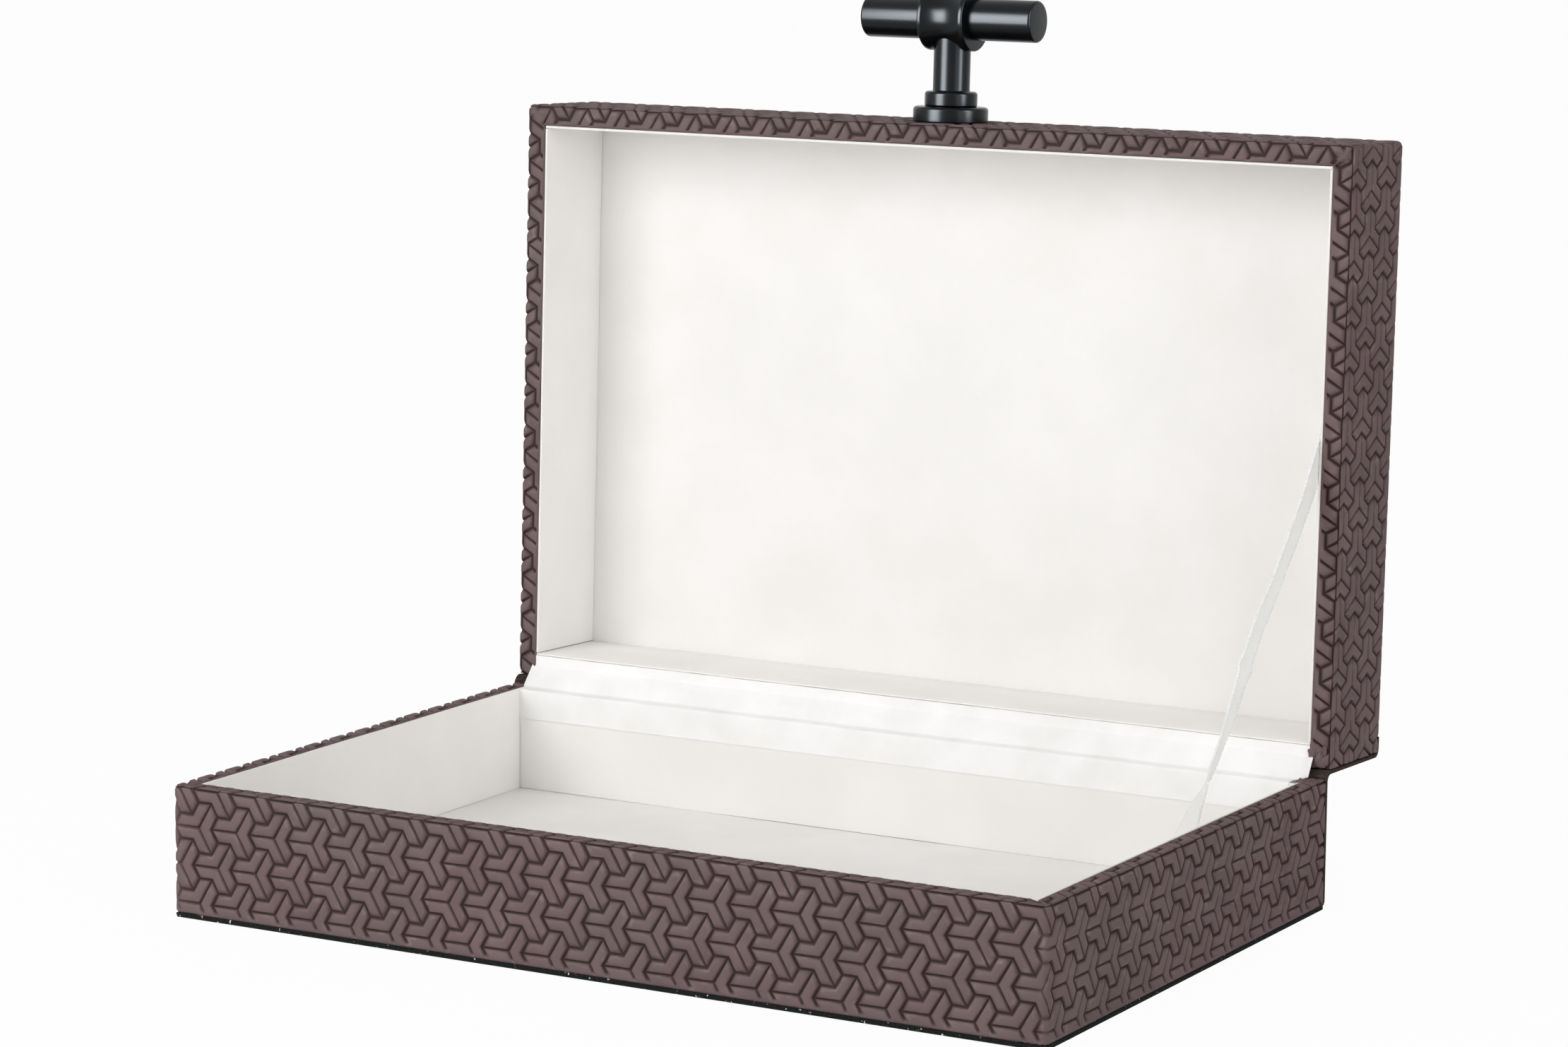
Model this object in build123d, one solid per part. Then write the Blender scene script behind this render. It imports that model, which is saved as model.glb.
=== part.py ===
from build123d import *
from dataclasses import dataclass
from math import cos, radians, sin
import os

# Hinged presentation box: two board trays under an embossed cover, with a T-bar pull.
# Millimetres. X runs along the width, Y to the back, Z up from the ground.
# The origin is at the centre of the base's footprint. The lid stands open at rest.

# Overall sizes of the two halves
box_width = 280.0
base_depth = 180.5
base_height = 39.0
lid_height = 37.4

# How far the lid's back reaches past the base's, with the hinge line over it
lid_overhang = 1.8

# How far the lid stands open, the hinge line above the base, and the gap between the closed rims
open_angle = 92.0
hinge_above = 1.05
closing_gap = 0.4

# Boards
base_wall = 4.5
lid_wall = 5.3
base_floor = 3.6
lid_top = 2.2

# Embossed cover sheet and the places where it is pared thinner to be turned over
cover_thickness = 1.2
rim_wrap = 0.8
flap_thickness = 0.6
flap_width = 14.0
back_flap = 0.9
corner_radius = 1.8
edge_radius = 1.0

# Spine sheet behind both halves, and the flat sheets over the flaps
spine_thickness = 1.5
spine_radius = 1.4
flex_start = 1.0
flex_rise = 0.9
flex_run = 1.4
flex_dip = 0.4
sole_thickness = 1.5
sole_inset = 0.8
top_sheet = 0.8
top_sheet_inset = 1.5

# Lining cards
wall_card = 0.8
floor_card = 0.8
lid_top_card = 0.6
card_drop = 0.3
card_gap = 0.1

# White strip inside the hinge
strip_thickness = 0.3
strip_end_gap = 1.2
strip_reach = 9.0
strip_leave = 1.0
strip_join = 2.0

# Ribbon stay on the right side
ribbon_width = 9.0
ribbon_thickness = 0.4
ribbon_low = (3.0, 26.5)
ribbon_high = (106.0, 144.0)
ribbon_base_tab = 11.0
ribbon_lid_tab = 26.0

# T-bar pull
bar_diameter = 12.6
bar_length = 57.0
bar_chamfer = 0.8
bar_height = 31.0
collar_diameter = 19.2
collar_waist = 16.2
collar_width = 14.0
collar_lip = 1.2
neck_diameter = 10.7
foot_diameter = 15.4
foot_height = 4.6
rosette_diameter = 22.8
rosette_height = 4.6
turned_edge = 1.1
spigot_diameter = 6.0
spigot_depth = 2.0
fit_clearance = 0.05

# Machine screw that holds the pull from inside the lid
screw_diameter = 4.0
screw_engagement = 9.0
head_diameter = 8.0
head_height = 2.4
washer_diameter = 9.6
washer_thickness = 0.8
pocket_clearance = 0.2
hole_clearance = 0.2

# How far a cutting shape runs past what it cuts
overrun = 1.0


def block(x, y, z):
    """Box between a low and a high limit on each axis."""
    box = Box(x[1] - x[0], y[1] - y[0], z[1] - z[0], align=(Align.MIN, Align.MIN, Align.MIN))
    return Pos(x[0], y[0], z[0]) * box


def across(half, y, z):
    """Box centred on the width."""
    return block((-half, half), y, z)


def yz_prism(points, half):
    """Outline in the YZ plane, drawn out evenly to both sides of the centre."""
    face = Plane.YZ * make_face(Polyline(*points, close=True))
    return extrude(face, amount=half, both=True)


@dataclass
class Tray:
    """One half of the box, rim up and front at -Y, with the levels its pieces share."""

    depth: float
    height: float
    wall: float
    floor: float
    floor_card: float
    sheet: float
    sheet_inset: float

    def __post_init__(self):
        self.half = box_width / 2
        self.front = -base_depth / 2
        self.back = self.front + self.depth
        self.flap_top = self.sheet + flap_thickness
        self.floor_top = self.flap_top + self.floor
        self.card_top = self.floor_top + self.floor_card
        self.rim = self.height - rim_wrap
        self.out_x = self.half - cover_thickness
        self.in_x = self.out_x - self.wall
        self.out_front = self.front + cover_thickness
        self.in_front = self.out_front + self.wall
        self.back_sheet = self.back - spine_thickness
        self.out_back = self.back_sheet - back_flap
        self.in_back = self.out_back - self.wall
        self.card_x = self.in_x - wall_card
        self.card_back = self.in_back - wall_card


base = Tray(base_depth, base_height, base_wall, base_floor, floor_card, sole_thickness, sole_inset)
lid = Tray(
    base_depth + lid_overhang, lid_height, lid_wall, lid_top, lid_top_card, top_sheet, top_sheet_inset
)

hinge_y = lid.back
hinge_z = base.height + hinge_above
hinge_axis = Axis((0, hinge_y, hinge_z), (1, 0, 0))
lid_rim = base.height + closing_gap
lid_crown = lid_rim + lid.height


def close_lid(shape):
    """Turn a tray piece rim down, where it lies when the box is shut."""
    return Pos(0, 0, lid_crown) * Rot(0, 180, 0) * shape


def open_lid(shape):
    """Swing a shut lid's piece to where the lid stands open."""
    return shape.rotate(hinge_axis, -open_angle)


def open_point(y, depth):
    """Side view place of a lid point, from its shut Y and its depth behind the lid's rim."""
    dy = y - hinge_y
    dz = lid_rim + depth - hinge_z
    c = cos(radians(-open_angle))
    s = sin(radians(-open_angle))
    return hinge_y + dy * c - dz * s, hinge_z + dy * s + dz * c


def floor_board(t):
    """Board under the walls, or over them in the lid."""
    return across(t.out_x, (t.out_front, t.out_back), (t.flap_top, t.floor_top))


def wall_boards(t):
    """Four wall boards, front and back full width and the sides between them."""
    z = (t.floor_top, t.rim)
    return {
        "front_board": across(t.out_x, (t.out_front, t.in_front), z),
        "back_board": across(t.out_x, (t.in_back, t.out_back), z),
        "left_board": block((-t.out_x, -t.in_x), (t.in_front, t.in_back), z),
        "right_board": block((t.in_x, t.out_x), (t.in_front, t.in_back), z),
    }


def cover_band(t):
    """Embossed sheet round front and sides, turned over the rim, the floor and the back corners."""
    band = across(t.half, (t.front, t.back_sheet), (t.sheet, t.height))
    front_corners = band.edges().filter_by(Axis.Z).group_by(Axis.Y)[0]
    band = fillet(front_corners, corner_radius)
    for end in (0, -1):
        ring = band.faces().sort_by(Axis.Z)[end].edges()
        outer = [edge for edge in ring if edge.center().Y < t.back_sheet - edge_radius]
        band = fillet(outer, edge_radius)
    beyond = t.back + overrun
    band -= across(t.out_x, (t.out_front, t.out_back), (t.flap_top, t.rim))
    band -= across(t.in_x, (t.in_front, beyond), (t.flap_top, t.height + overrun))
    band -= across(t.out_x - flap_width, (t.in_back, beyond), (0, t.height + overrun))
    band -= across(t.out_x - flap_width, (t.front + flap_width, beyond), (0, t.flap_top))
    band -= across(t.half + overrun, (t.back - flap_width, t.out_back), (0, t.flap_top))
    band -= across(t.half + overrun, (t.out_back, beyond), (0, t.flap_top))
    return band


def spine_sheet(t):
    """Sheet over the back wall, turned over the floor board."""
    sheet = across(t.half, (t.back - flap_width, t.back), (t.sheet, t.height - flex_start))
    rear_edge = sheet.edges().filter_by(Axis.X).group_by(Axis.Z)[0].sort_by(Axis.Y)[-1]
    sheet = fillet(rear_edge, spine_radius)
    return sheet - across(t.half + overrun, (t.front, t.back_sheet), (t.flap_top, t.height))


def flat_sheet(t):
    """Felt sole or top sheet over the turned flaps."""
    inset = t.sheet_inset
    sheet = across(t.half - inset, (t.front + inset, t.back - inset), (0, t.sheet))
    return fillet(sheet.edges().filter_by(Axis.Z), corner_radius)


def lining_cards(t, back_card_top):
    """Card on the floor and on each wall."""
    x = t.in_x - card_gap
    y = (t.in_front + card_gap, t.in_back - card_gap)
    side_y = (t.in_front + wall_card + card_gap, t.card_back - card_gap)
    z = (t.card_top, t.height - card_drop)
    return {
        "floor_lining": across(x, y, (t.floor_top, t.card_top)),
        "front_lining": across(x, (t.in_front, t.in_front + wall_card), z),
        "back_lining": across(x, (t.card_back, t.in_back), (t.card_top, back_card_top)),
        "left_lining": block((-t.in_x, -t.card_x), side_y, z),
        "right_lining": block((t.card_x, t.in_x), side_y, z),
    }


def spine_flex():
    """Free part of the spine sheet between the two halves, which bends as the hinge."""
    low = base.height - flex_start
    inner_low = (base.back_sheet, low)
    outer_low = (base.back, low)
    inner_high = open_point(lid.back_sheet, flex_start)
    outer_high = open_point(lid.back, flex_start)
    inner = Bezier(
        inner_low,
        (inner_low[0], low + flex_rise),
        (inner_high[0] - flex_run, inner_high[1] - flex_dip),
        inner_high,
    )
    outer = Bezier(
        outer_low,
        (outer_low[0], low + flex_rise),
        (outer_high[0] - flex_run, outer_high[1]),
        outer_high,
    )
    face = make_face([inner, outer, Line(inner_low, outer_low), Line(inner_high, outer_high)])
    return extrude(Plane.YZ * face, amount=box_width / 2, both=True)


def hinge_strip():
    """White strip from the base's back wall, over both rims, to the lid's lining."""
    s = strip_thickness
    leave = base.out_back - strip_leave
    bottom = base.rim - strip_reach
    join = lid.out_back - strip_join
    outline = [
        (base.card_back - s, bottom),
        (base.card_back - s, base.rim + s),
        (leave, base.rim + s),
        open_point(join, rim_wrap - s),
        open_point(lid.in_back, rim_wrap - s),
        open_point(lid.in_back, rim_wrap),
        open_point(join, rim_wrap),
        (leave, base.rim),
        (base.card_back, base.rim),
        (base.card_back, bottom),
    ]
    return yz_prism(outline, lid.in_x - strip_end_gap)


def ribbon():
    """Ribbon stay, glued flat to the right linings, straight when the lid stands open."""
    low = Vector(0, *ribbon_low)
    high = Vector(0, *ribbon_high)
    along = (high - low).normalized()
    base_x = base.card_x - ribbon_thickness / 2
    lid_x = lid.card_x - ribbon_thickness / 2
    stations = [
        (base_x, low),
        (base_x, low + along * ribbon_base_tab),
        (lid_x, high - along * ribbon_lid_tab),
        (lid_x, high),
    ]
    sections = []
    for x, place in stations:
        plane = Plane(origin=(x, place.Y, place.Z), x_dir=(1, 0, 0), z_dir=along)
        sections.append(plane * Rectangle(ribbon_thickness, ribbon_width))
    return loft(sections, ruled=True)


def collar_envelope():
    """Spool round the bar: two lips and a hollowed waist."""
    half = collar_width / 2
    lip = collar_diameter / 2
    waist = collar_waist / 2
    outline = [
        Line((-half, 0), (-half, lip)),
        Line((-half, lip), (-half + collar_lip, lip)),
        ThreePointArc((-half + collar_lip, lip), (0, waist), (half - collar_lip, lip)),
        Line((half - collar_lip, lip), (half, lip)),
        Line((half, lip), (half, 0)),
        Line((half, 0), (-half, 0)),
    ]
    spool = revolve(make_face(outline), Axis.X)
    rings = spool.edges().filter_by(GeomType.CIRCLE).group_by(Axis.X)
    return Pos(0, 0, bar_height) * fillet(rings[0] + rings[-1], collar_lip / 3)


def pull():
    """T-bar pull about Z, its rosette on the plane Z = 0 and its bar along X."""
    bar_radius = bar_diameter / 2
    spigot_top = bar_height - bar_radius + spigot_depth
    spigot_hole = Cylinder(
        spigot_diameter / 2 + fit_clearance,
        spigot_top + fit_clearance,
        align=(Align.CENTER, Align.CENTER, Align.MIN),
    )
    lying = Pos(0, 0, bar_height) * Rot(0, 90, 0)
    envelope = collar_envelope()

    rosette = Cylinder(rosette_diameter / 2, rosette_height, align=(Align.CENTER, Align.CENTER, Align.MIN))
    rosette = fillet(rosette.edges().group_by(Axis.Z)[-1], turned_edge)
    screw_way = Cylinder(screw_diameter / 2 + hole_clearance, 3 * rosette_height)
    rosette -= screw_way

    foot_top = rosette_height + foot_height
    foot = Pos(0, 0, rosette_height) * Cylinder(
        foot_diameter / 2, foot_height, align=(Align.CENTER, Align.CENTER, Align.MIN)
    )
    foot = fillet(foot.edges().filter_by(GeomType.CIRCLE), turned_edge)
    neck = Pos(0, 0, foot_top) * Cylinder(
        neck_diameter / 2, bar_height - foot_top, align=(Align.CENTER, Align.CENTER, Align.MIN)
    )
    spigot = Pos(0, 0, foot_top) * Cylinder(
        spigot_diameter / 2, spigot_top - foot_top, align=(Align.CENTER, Align.CENTER, Align.MIN)
    )
    thread = Pos(0, 0, rosette_height) * Cylinder(
        screw_diameter / 2, screw_engagement + overrun, align=(Align.CENTER, Align.CENTER, Align.MIN)
    )
    post = foot + (neck - envelope) + spigot - thread

    collar = envelope - lying * Cylinder(bar_radius + fit_clearance, 2 * collar_width) - spigot_hole
    bar = lying * Cylinder(bar_radius, bar_length)
    bar = chamfer(bar.edges().filter_by(GeomType.CIRCLE), bar_chamfer)
    bar -= spigot_hole
    return {"pull_rosette": rosette, "pull_post": post, "pull_collar": collar, "pull_bar": bar}


pocket_floor = -(cover_thickness + lid_wall) + head_height + washer_thickness + pocket_clearance


def pull_screw():
    """Screw with a pan head in the pocket behind the front board."""
    head_top = pocket_floor - washer_thickness
    shank_end = rosette_height + screw_engagement
    head = Pos(0, 0, head_top) * Cylinder(
        head_diameter / 2, head_height, align=(Align.CENTER, Align.CENTER, Align.MAX)
    )
    head = fillet(head.edges().group_by(Axis.Z)[0], head_height / 3)
    shank = Pos(0, 0, head_top) * Cylinder(
        screw_diameter / 2 - fit_clearance,
        shank_end - head_top,
        align=(Align.CENTER, Align.CENTER, Align.MIN),
    )
    return head + shank


def pull_washer():
    """Flat washer between the screw's head and the board."""
    disc = Cylinder(washer_diameter / 2, washer_thickness) - Cylinder(
        screw_diameter / 2 + hole_clearance / 2, 2 * washer_thickness
    )
    return Pos(0, 0, pocket_floor - washer_thickness / 2) * disc


def screw_passage():
    """Through hole and pocket for the screw, to be cut from the front wall."""
    way = Cylinder(screw_diameter / 2 + hole_clearance, 6 * lid_wall)
    pocket = Pos(0, 0, pocket_floor) * Cylinder(
        washer_diameter / 2 + pocket_clearance, lid_wall, align=(Align.CENTER, Align.CENTER, Align.MAX)
    )
    return way + pocket


def on_front_wall(shape):
    """Place a pull piece on the middle of the shut lid's front wall, pointing forward."""
    return Pos(0, lid.front, lid_rim + lid.height / 2) * Rot(90, 0, 0) * shape


nodes = {}

# Base tray
nodes["base_sole"] = flat_sheet(base)
nodes["base_floor_board"] = floor_board(base)
nodes["base_cover_band"] = cover_band(base)
nodes["base_back_cover"] = spine_sheet(base)
for name, board in wall_boards(base).items():
    nodes["base_" + name] = board
for name, card in lining_cards(base, base.rim).items():
    nodes["base_" + name] = card

# Lid tray and the pull on its front wall
passage = on_front_wall(screw_passage())
shut = {
    "lid_top_cover": close_lid(flat_sheet(lid)),
    "lid_top_board": close_lid(floor_board(lid)),
    "lid_cover_band": close_lid(cover_band(lid)) - on_front_wall(
        Cylinder(screw_diameter / 2 + hole_clearance, 4 * cover_thickness)
    ),
    "lid_back_cover": close_lid(spine_sheet(lid)),
}
for name, board in wall_boards(lid).items():
    shut["lid_" + name] = close_lid(board)
shut["lid_front_board"] -= passage
for name, card in lining_cards(lid, lid.height - card_drop).items():
    shut["lid_" + name.replace("floor", "top")] = close_lid(card)
for name, piece in pull().items():
    shut[name] = on_front_wall(piece)
shut["pull_screw"] = on_front_wall(pull_screw())
shut["pull_washer"] = on_front_wall(pull_washer())

# Turning the lid over swaps its left and right walls
for kind in ("board", "lining"):
    left = shut["lid_left_" + kind]
    shut["lid_left_" + kind] = shut["lid_right_" + kind]
    shut["lid_right_" + kind] = left

for name, piece in shut.items():
    nodes[name] = open_lid(piece)

# Soft pieces that join the halves
nodes["hinge_spine_flex"] = spine_flex()
nodes["hinge_lining_strip"] = hinge_strip()
nodes["ribbon_stay"] = ribbon()

os.makedirs("parts", exist_ok=True)
for name, shape in nodes.items():
    export_step(shape, f"parts/{name}.step")
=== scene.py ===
"""Hinged presentation box under an embossed cover, standing open in a white studio."""

import logging
import math
from dataclasses import dataclass, field
from enum import Enum
from typing import Callable, ClassVar, Iterable, Iterator, Optional, Sequence, Union

import bmesh
import bpy
import numpy as np
from mathutils import Euler, Matrix, Vector, noise


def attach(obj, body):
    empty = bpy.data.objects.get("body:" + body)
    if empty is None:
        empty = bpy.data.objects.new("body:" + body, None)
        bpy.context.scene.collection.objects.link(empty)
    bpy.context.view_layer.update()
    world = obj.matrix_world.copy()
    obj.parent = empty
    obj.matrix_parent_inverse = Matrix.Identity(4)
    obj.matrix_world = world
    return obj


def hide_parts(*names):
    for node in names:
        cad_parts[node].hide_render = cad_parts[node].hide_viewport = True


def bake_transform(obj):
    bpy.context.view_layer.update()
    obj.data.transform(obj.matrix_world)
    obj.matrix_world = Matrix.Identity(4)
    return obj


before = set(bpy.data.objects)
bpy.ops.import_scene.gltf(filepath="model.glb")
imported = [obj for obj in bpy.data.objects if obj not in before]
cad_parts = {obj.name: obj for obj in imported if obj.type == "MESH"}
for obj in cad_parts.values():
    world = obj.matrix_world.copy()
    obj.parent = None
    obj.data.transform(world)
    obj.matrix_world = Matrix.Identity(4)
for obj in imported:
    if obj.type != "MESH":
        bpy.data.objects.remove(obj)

log = logging.getLogger("box")
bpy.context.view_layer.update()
MM = 0.001

Pair = tuple[float, float]
Triple = tuple[float, float, float]
Sockets = dict[str, bpy.types.NodeSocket]


# Colours and nodes


def linear(code: str) -> tuple[float, float, float, float]:
    """Turn an sRGB hex value, "#RRGGBB", into the linear colour that a shader takes, with an alpha of 1."""
    parts = [int(code[i : i + 2], 16) / 255 for i in (1, 3, 5)]
    return (*(p / 12.92 if p <= 0.04045 else ((p + 0.055) / 1.055) ** 2.4 for p in parts), 1.0)


def feed(tree: bpy.types.NodeTree, node: bpy.types.Node, inputs: dict) -> None:
    """Give a node's input sockets their values and links.

    Args:
        tree: Node tree that the node is in.
        node: The node.
        inputs: Socket name or number, and the value or output socket that it takes.
    """
    for key, value in inputs.items():
        if isinstance(value, bpy.types.NodeSocket):
            tree.links.new(value, node.inputs[key])
        else:
            node.inputs[key].default_value = value


def add(
    tree: bpy.types.NodeTree, kind: str, inputs: Optional[dict] = None, **settings: object
) -> bpy.types.Node:
    """Add one node with its settings and links.

    Args:
        tree: Node tree that gets the node.
        kind: Blender's name for the node's type.
        inputs: Socket name or number, and the value or output socket that it takes.
        settings: Properties of the node itself.

    Returns:
        The new node.
    """
    made = tree.nodes.new(kind)
    for key, value in settings.items():
        setattr(made, key, value)
    feed(tree, made, inputs or {})
    return made


# Finishes


@dataclass(frozen=True)
class Grain:
    """Noise whose blotches are size_mm across, with finer ones by its detail, drawn out by its stretch."""

    size_mm: float
    detail: float = 3.0
    stretch: Optional[Triple] = None


# A grain, or the name of a pattern that the finish lays itself
Pattern = Union[Grain, str]


@dataclass(frozen=True)
class Layer:
    """A colour over those before it, from where its pattern starts to cover to where it covers most."""

    colour: str
    pattern: Pattern
    start: float = 0.0
    full: float = 1.0
    cover: Union[float, str] = 1.0


@dataclass(frozen=True)
class Relief:
    """Fine bump, with the depth of its pattern's span."""

    pattern: Pattern
    depth_mm: float


@dataclass(frozen=True)
class Sheen:
    """Unevenness of the gloss: how far the roughness goes from its mean where the pattern is 0 and 1."""

    pattern: Pattern
    low: float
    high: float


@dataclass(frozen=True)
class Finish:
    """What every finish shares: its name, gloss and first colour, and the patterns that lie over it."""

    name: str = "finish"
    roughness: float = 0.5
    specular: float = 0.5
    metallic: float = 0.0
    face: str = "#FFFFFF"
    layers: tuple[Layer, ...] = ()
    reliefs: tuple[Relief, ...] = ()
    sheen: Optional[Sheen] = None
    # Other sockets of the shader, with their values
    others: tuple[tuple[str, object], ...] = ()

    def patterns(self, tree: bpy.types.NodeTree, place: bpy.types.NodeSocket) -> Sockets:
        """Patterns that a finish names, besides plain grain: none."""
        return {}

    def make(self) -> bpy.types.Material:
        """Build the material: its colours over one another, then its relief and its gloss.

        Returns:
            The material, its grain on object coordinates in metres.
        """
        material = bpy.data.materials.new(self.name)
        material.use_nodes = True
        tree = material.node_tree
        place = add(tree, "ShaderNodeTexCoord").outputs["Object"]
        found: dict[Pattern, bpy.types.NodeSocket] = dict(self.patterns(tree, place))

        def laid(pattern: Pattern) -> bpy.types.NodeSocket:
            """Find a pattern, and lay its grain where it isn't there yet.

            Args:
                pattern: A named pattern or a grain.

            Returns:
                The pattern's socket.
            """
            if pattern not in found:
                drawn = place
                if pattern.stretch:
                    drawn = add(tree, "ShaderNodeMapping", {0: place, 3: pattern.stretch}).outputs[0]
                inputs = {"Vector": drawn, "Scale": 1 / (pattern.size_mm * MM), "Detail": pattern.detail}
                found[pattern] = add(tree, "ShaderNodeTexNoise", inputs).outputs["Fac"]
            return found[pattern]

        body: object = linear(self.face)
        for layer in self.layers:
            cover = laid(layer.cover) if isinstance(layer.cover, str) else layer.cover
            inputs = {0: laid(layer.pattern), 1: layer.start, 2: layer.full, 4: cover}
            mask = add(tree, "ShaderNodeMapRange", inputs).outputs[0]
            mix = add(tree, "ShaderNodeMix", {0: mask, 6: body, 7: linear(layer.colour)}, data_type="RGBA")
            body = mix.outputs[2]
        under: Sockets = {}
        for relief in self.reliefs:
            inputs = {"Height": laid(relief.pattern), "Distance": relief.depth_mm * MM, **under}
            under = {"Normal": add(tree, "ShaderNodeBump", inputs).outputs[0]}
        roughness: object = self.roughness
        if self.sheen:
            low, high = self.roughness + self.sheen.low, self.roughness + self.sheen.high
            inputs = {0: laid(self.sheen.pattern), 3: low, 4: high}
            roughness = add(tree, "ShaderNodeMapRange", inputs).outputs[0]
        given = {
            "Base Color": body,
            "Roughness": roughness,
            "Metallic": self.metallic,
            "Specular IOR Level": self.specular,
            **under,
            **dict(self.others),
        }
        feed(tree, tree.nodes["Principled BSDF"], given)
        return material


@dataclass(frozen=True)
class Leatherette(Finish):
    """Polyurethane leatherette, hot-pressed: matt mauve-brown tops, painted shade in the grooves, a painted
    highlight on the shoulders, fine pore grain.
    """

    name: str = "pu_leatherette_pressed"
    roughness: float = 0.6
    specular: float = 0.05
    face: str = "#705D5E"
    layers: tuple[Layer, ...] = (
        # The dye takes unevenly, in clouds 18 and 55 mm across, as it does on the real sheet
        Layer("#645253", Grain(18), 0.35, 0.65),
        Layer("#655956", Grain(55, 2), 0.4, 0.7, 0.6),
        # Painted highlight with some rub wear: where the press left a rounded shoulder, the skin is painted a
        # little paler
        Layer("#8A7975", Grain(5, 2), 0.52, 0.75, "shoulder"),
        # Painted shade in the grooves: darker down the groove's slope, darkest at its bottom
        Layer("#463435", "depth", 0.15, 0.6, 0.6),
        Layer("#271716", "depth", 0.6, 0.95),
    )
    reliefs: tuple[Relief, ...] = (Relief("pores", 0.03), Relief(Grain(2.2), 0.05))
    sheen: Sheen = Sheen("pores", -0.08, 0.1)
    # Pores are 0.3 mm apart on such a sheet, drawn at 0.45 mm so that they show
    pore_mm: float = 0.45

    def patterns(self, tree: bpy.types.NodeTree, place: bpy.types.NodeSocket) -> Sockets:
        """Lay the pores, and read the pressed depth from the sheet's own attribute.

        Args:
            tree: The material's tree.
            place: Object coordinates in metres.

        Returns:
            The depth, 0 on the tops and 1 in the grooves, which sets the painted shade, its shoulder, which
            gets the painted highlight, and the pores.
        """
        depth = add(tree, "ShaderNodeAttribute", attribute_name="groove").outputs["Fac"]
        shoulder = add(tree, "ShaderNodeMapRange", {0: depth, 1: 0.02, 2: 0.25}).outputs[0]
        inputs = {"Vector": place, "Scale": 1 / (self.pore_mm * MM)}
        pores = add(tree, "ShaderNodeTexVoronoi", inputs, feature="SMOOTH_F1").outputs["Distance"]
        return {"depth": depth, "shoulder": shoulder, "pores": pores}


@dataclass(frozen=True)
class FibreBacking(Finish):
    """Non-woven backing of the leatherette where it was cut: dull grey-brown, with short matted fibres."""

    name: str = "nonwoven_backing_cut"
    roughness: float = 0.9
    specular: float = 0.05
    face: str = "#241D1B"
    # Fibres lie along the width and are about 0.15 mm thick, drawn at 0.6 mm so that they show
    layers: tuple[Layer, ...] = (Layer("#4E423D", Grain(0.6, 4, (0.3, 1, 1)), 0.35, 0.7),)
    reliefs: tuple[Relief, ...] = (Relief(Grain(0.6, 4, (0.3, 1, 1)), 0.2),)


@dataclass(frozen=True)
class LiningPaper(Finish):
    """Uncoated off-white lining paper on card: dead matt, with faint fibres and a few specks."""

    name: str = "uncoated_lining_paper"
    roughness: float = 0.92
    specular: float = 0.05
    face: str = "#F5F3F1"
    layers: tuple[Layer, ...] = (
        Layer("#F1EFEC", Grain(30, 4), 0.35, 0.65),
        # Long fibres are 0.1 mm thick, drawn at 1.2 mm so that they show
        Layer("#F1EFEC", Grain(1.2, 4, (1, 0.35, 0.35)), 0.6, 0.95),
        # Specks of bark in the pulp
        Layer("#DCD6D0", Grain(1.3, 2), 0.79, 0.85),
    )
    reliefs: tuple[Relief, ...] = (Relief(Grain(1.2, 4, (1, 0.35, 0.35)), 0.04),)


@dataclass(frozen=True)
class GluedEdge(Finish):
    """Edge of a lining card where paste has soaked in and dried: matt, warm beige, uneven."""

    name: str = "pasted_paper_edge"
    roughness: float = 0.9
    face: str = "#D5CCC4"
    layers: tuple[Layer, ...] = (Layer("#9C9088", "soaked"),)
    reliefs: tuple[Relief, ...] = (Relief("soaked", 0.05),)
    # The paste spreads in patches of about a centimetre
    patch_mm: float = 9.0

    def patterns(self, tree: bpy.types.NodeTree, place: bpy.types.NodeSocket) -> Sockets:
        """Lay the patches of paste, which cockle the paper too.

        Args:
            tree: The material's tree.
            place: Object coordinates in metres.

        Returns:
            How far the paste has soaked in.
        """
        inputs = {"Vector": place, "Scale": 1 / (self.patch_mm * MM), "Detail": 3.0}
        patches = add(tree, "ShaderNodeTexNoise", inputs).outputs["Fac"]
        return {"soaked": add(tree, "ShaderNodeMapRange", {0: patches, 1: 0.35, 2: 0.7}).outputs[0]}


@dataclass(frozen=True)
class Greyboard(Finish):
    """Recycled greyboard: warm grey, matt, with flecks of paper."""

    name: str = "recycled_greyboard"
    roughness: float = 0.95
    face: str = "#8F8A82"
    # Flecks are 0.5 to 2 mm across
    layers: tuple[Layer, ...] = (Layer("#6C665F", Grain(1.5, 5), 0.5, 0.7),)
    reliefs: tuple[Relief, ...] = (Relief(Grain(0.8), 0.05),)


@dataclass(frozen=True)
class HingeCloth(Finish):
    """Paper-backed book cloth: bright white, matt, with a very fine plain weave."""

    name: str = "white_book_cloth"
    roughness: float = 0.8
    face: str = "#F3F2F1"
    layers: tuple[Layer, ...] = (Layer("#EBEAE8", Grain(14), 0.35, 0.7),)
    reliefs: tuple[Relief, ...] = (Relief("weave", 0.02), Relief(Grain(9, 2), 0.12))
    # Threads are 0.25 mm apart, drawn ten times as far apart so that they show
    thread_mm: float = 2.51327

    def patterns(self, tree: bpy.types.NodeTree, place: bpy.types.NodeSocket) -> Sockets:
        """Weave the threads across and up.

        Args:
            tree: The material's tree.
            place: Object coordinates in metres.

        Returns:
            The weave's height.
        """
        # The wave texture has 20 radians to a unit
        scale = 2 * math.pi / 20 / (self.thread_mm * MM)
        inputs = {"Vector": place, "Scale": scale, "Distortion": 0.6, "Detail": 1.0}
        across, up = (
            add(tree, "ShaderNodeTexWave", inputs, bands_direction=direction).outputs["Fac"]
            for direction in ("X", "Z")
        )
        return {"weave": add(tree, "ShaderNodeMath", {0: across, 1: up}, operation="MAXIMUM").outputs[0]}


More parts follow.
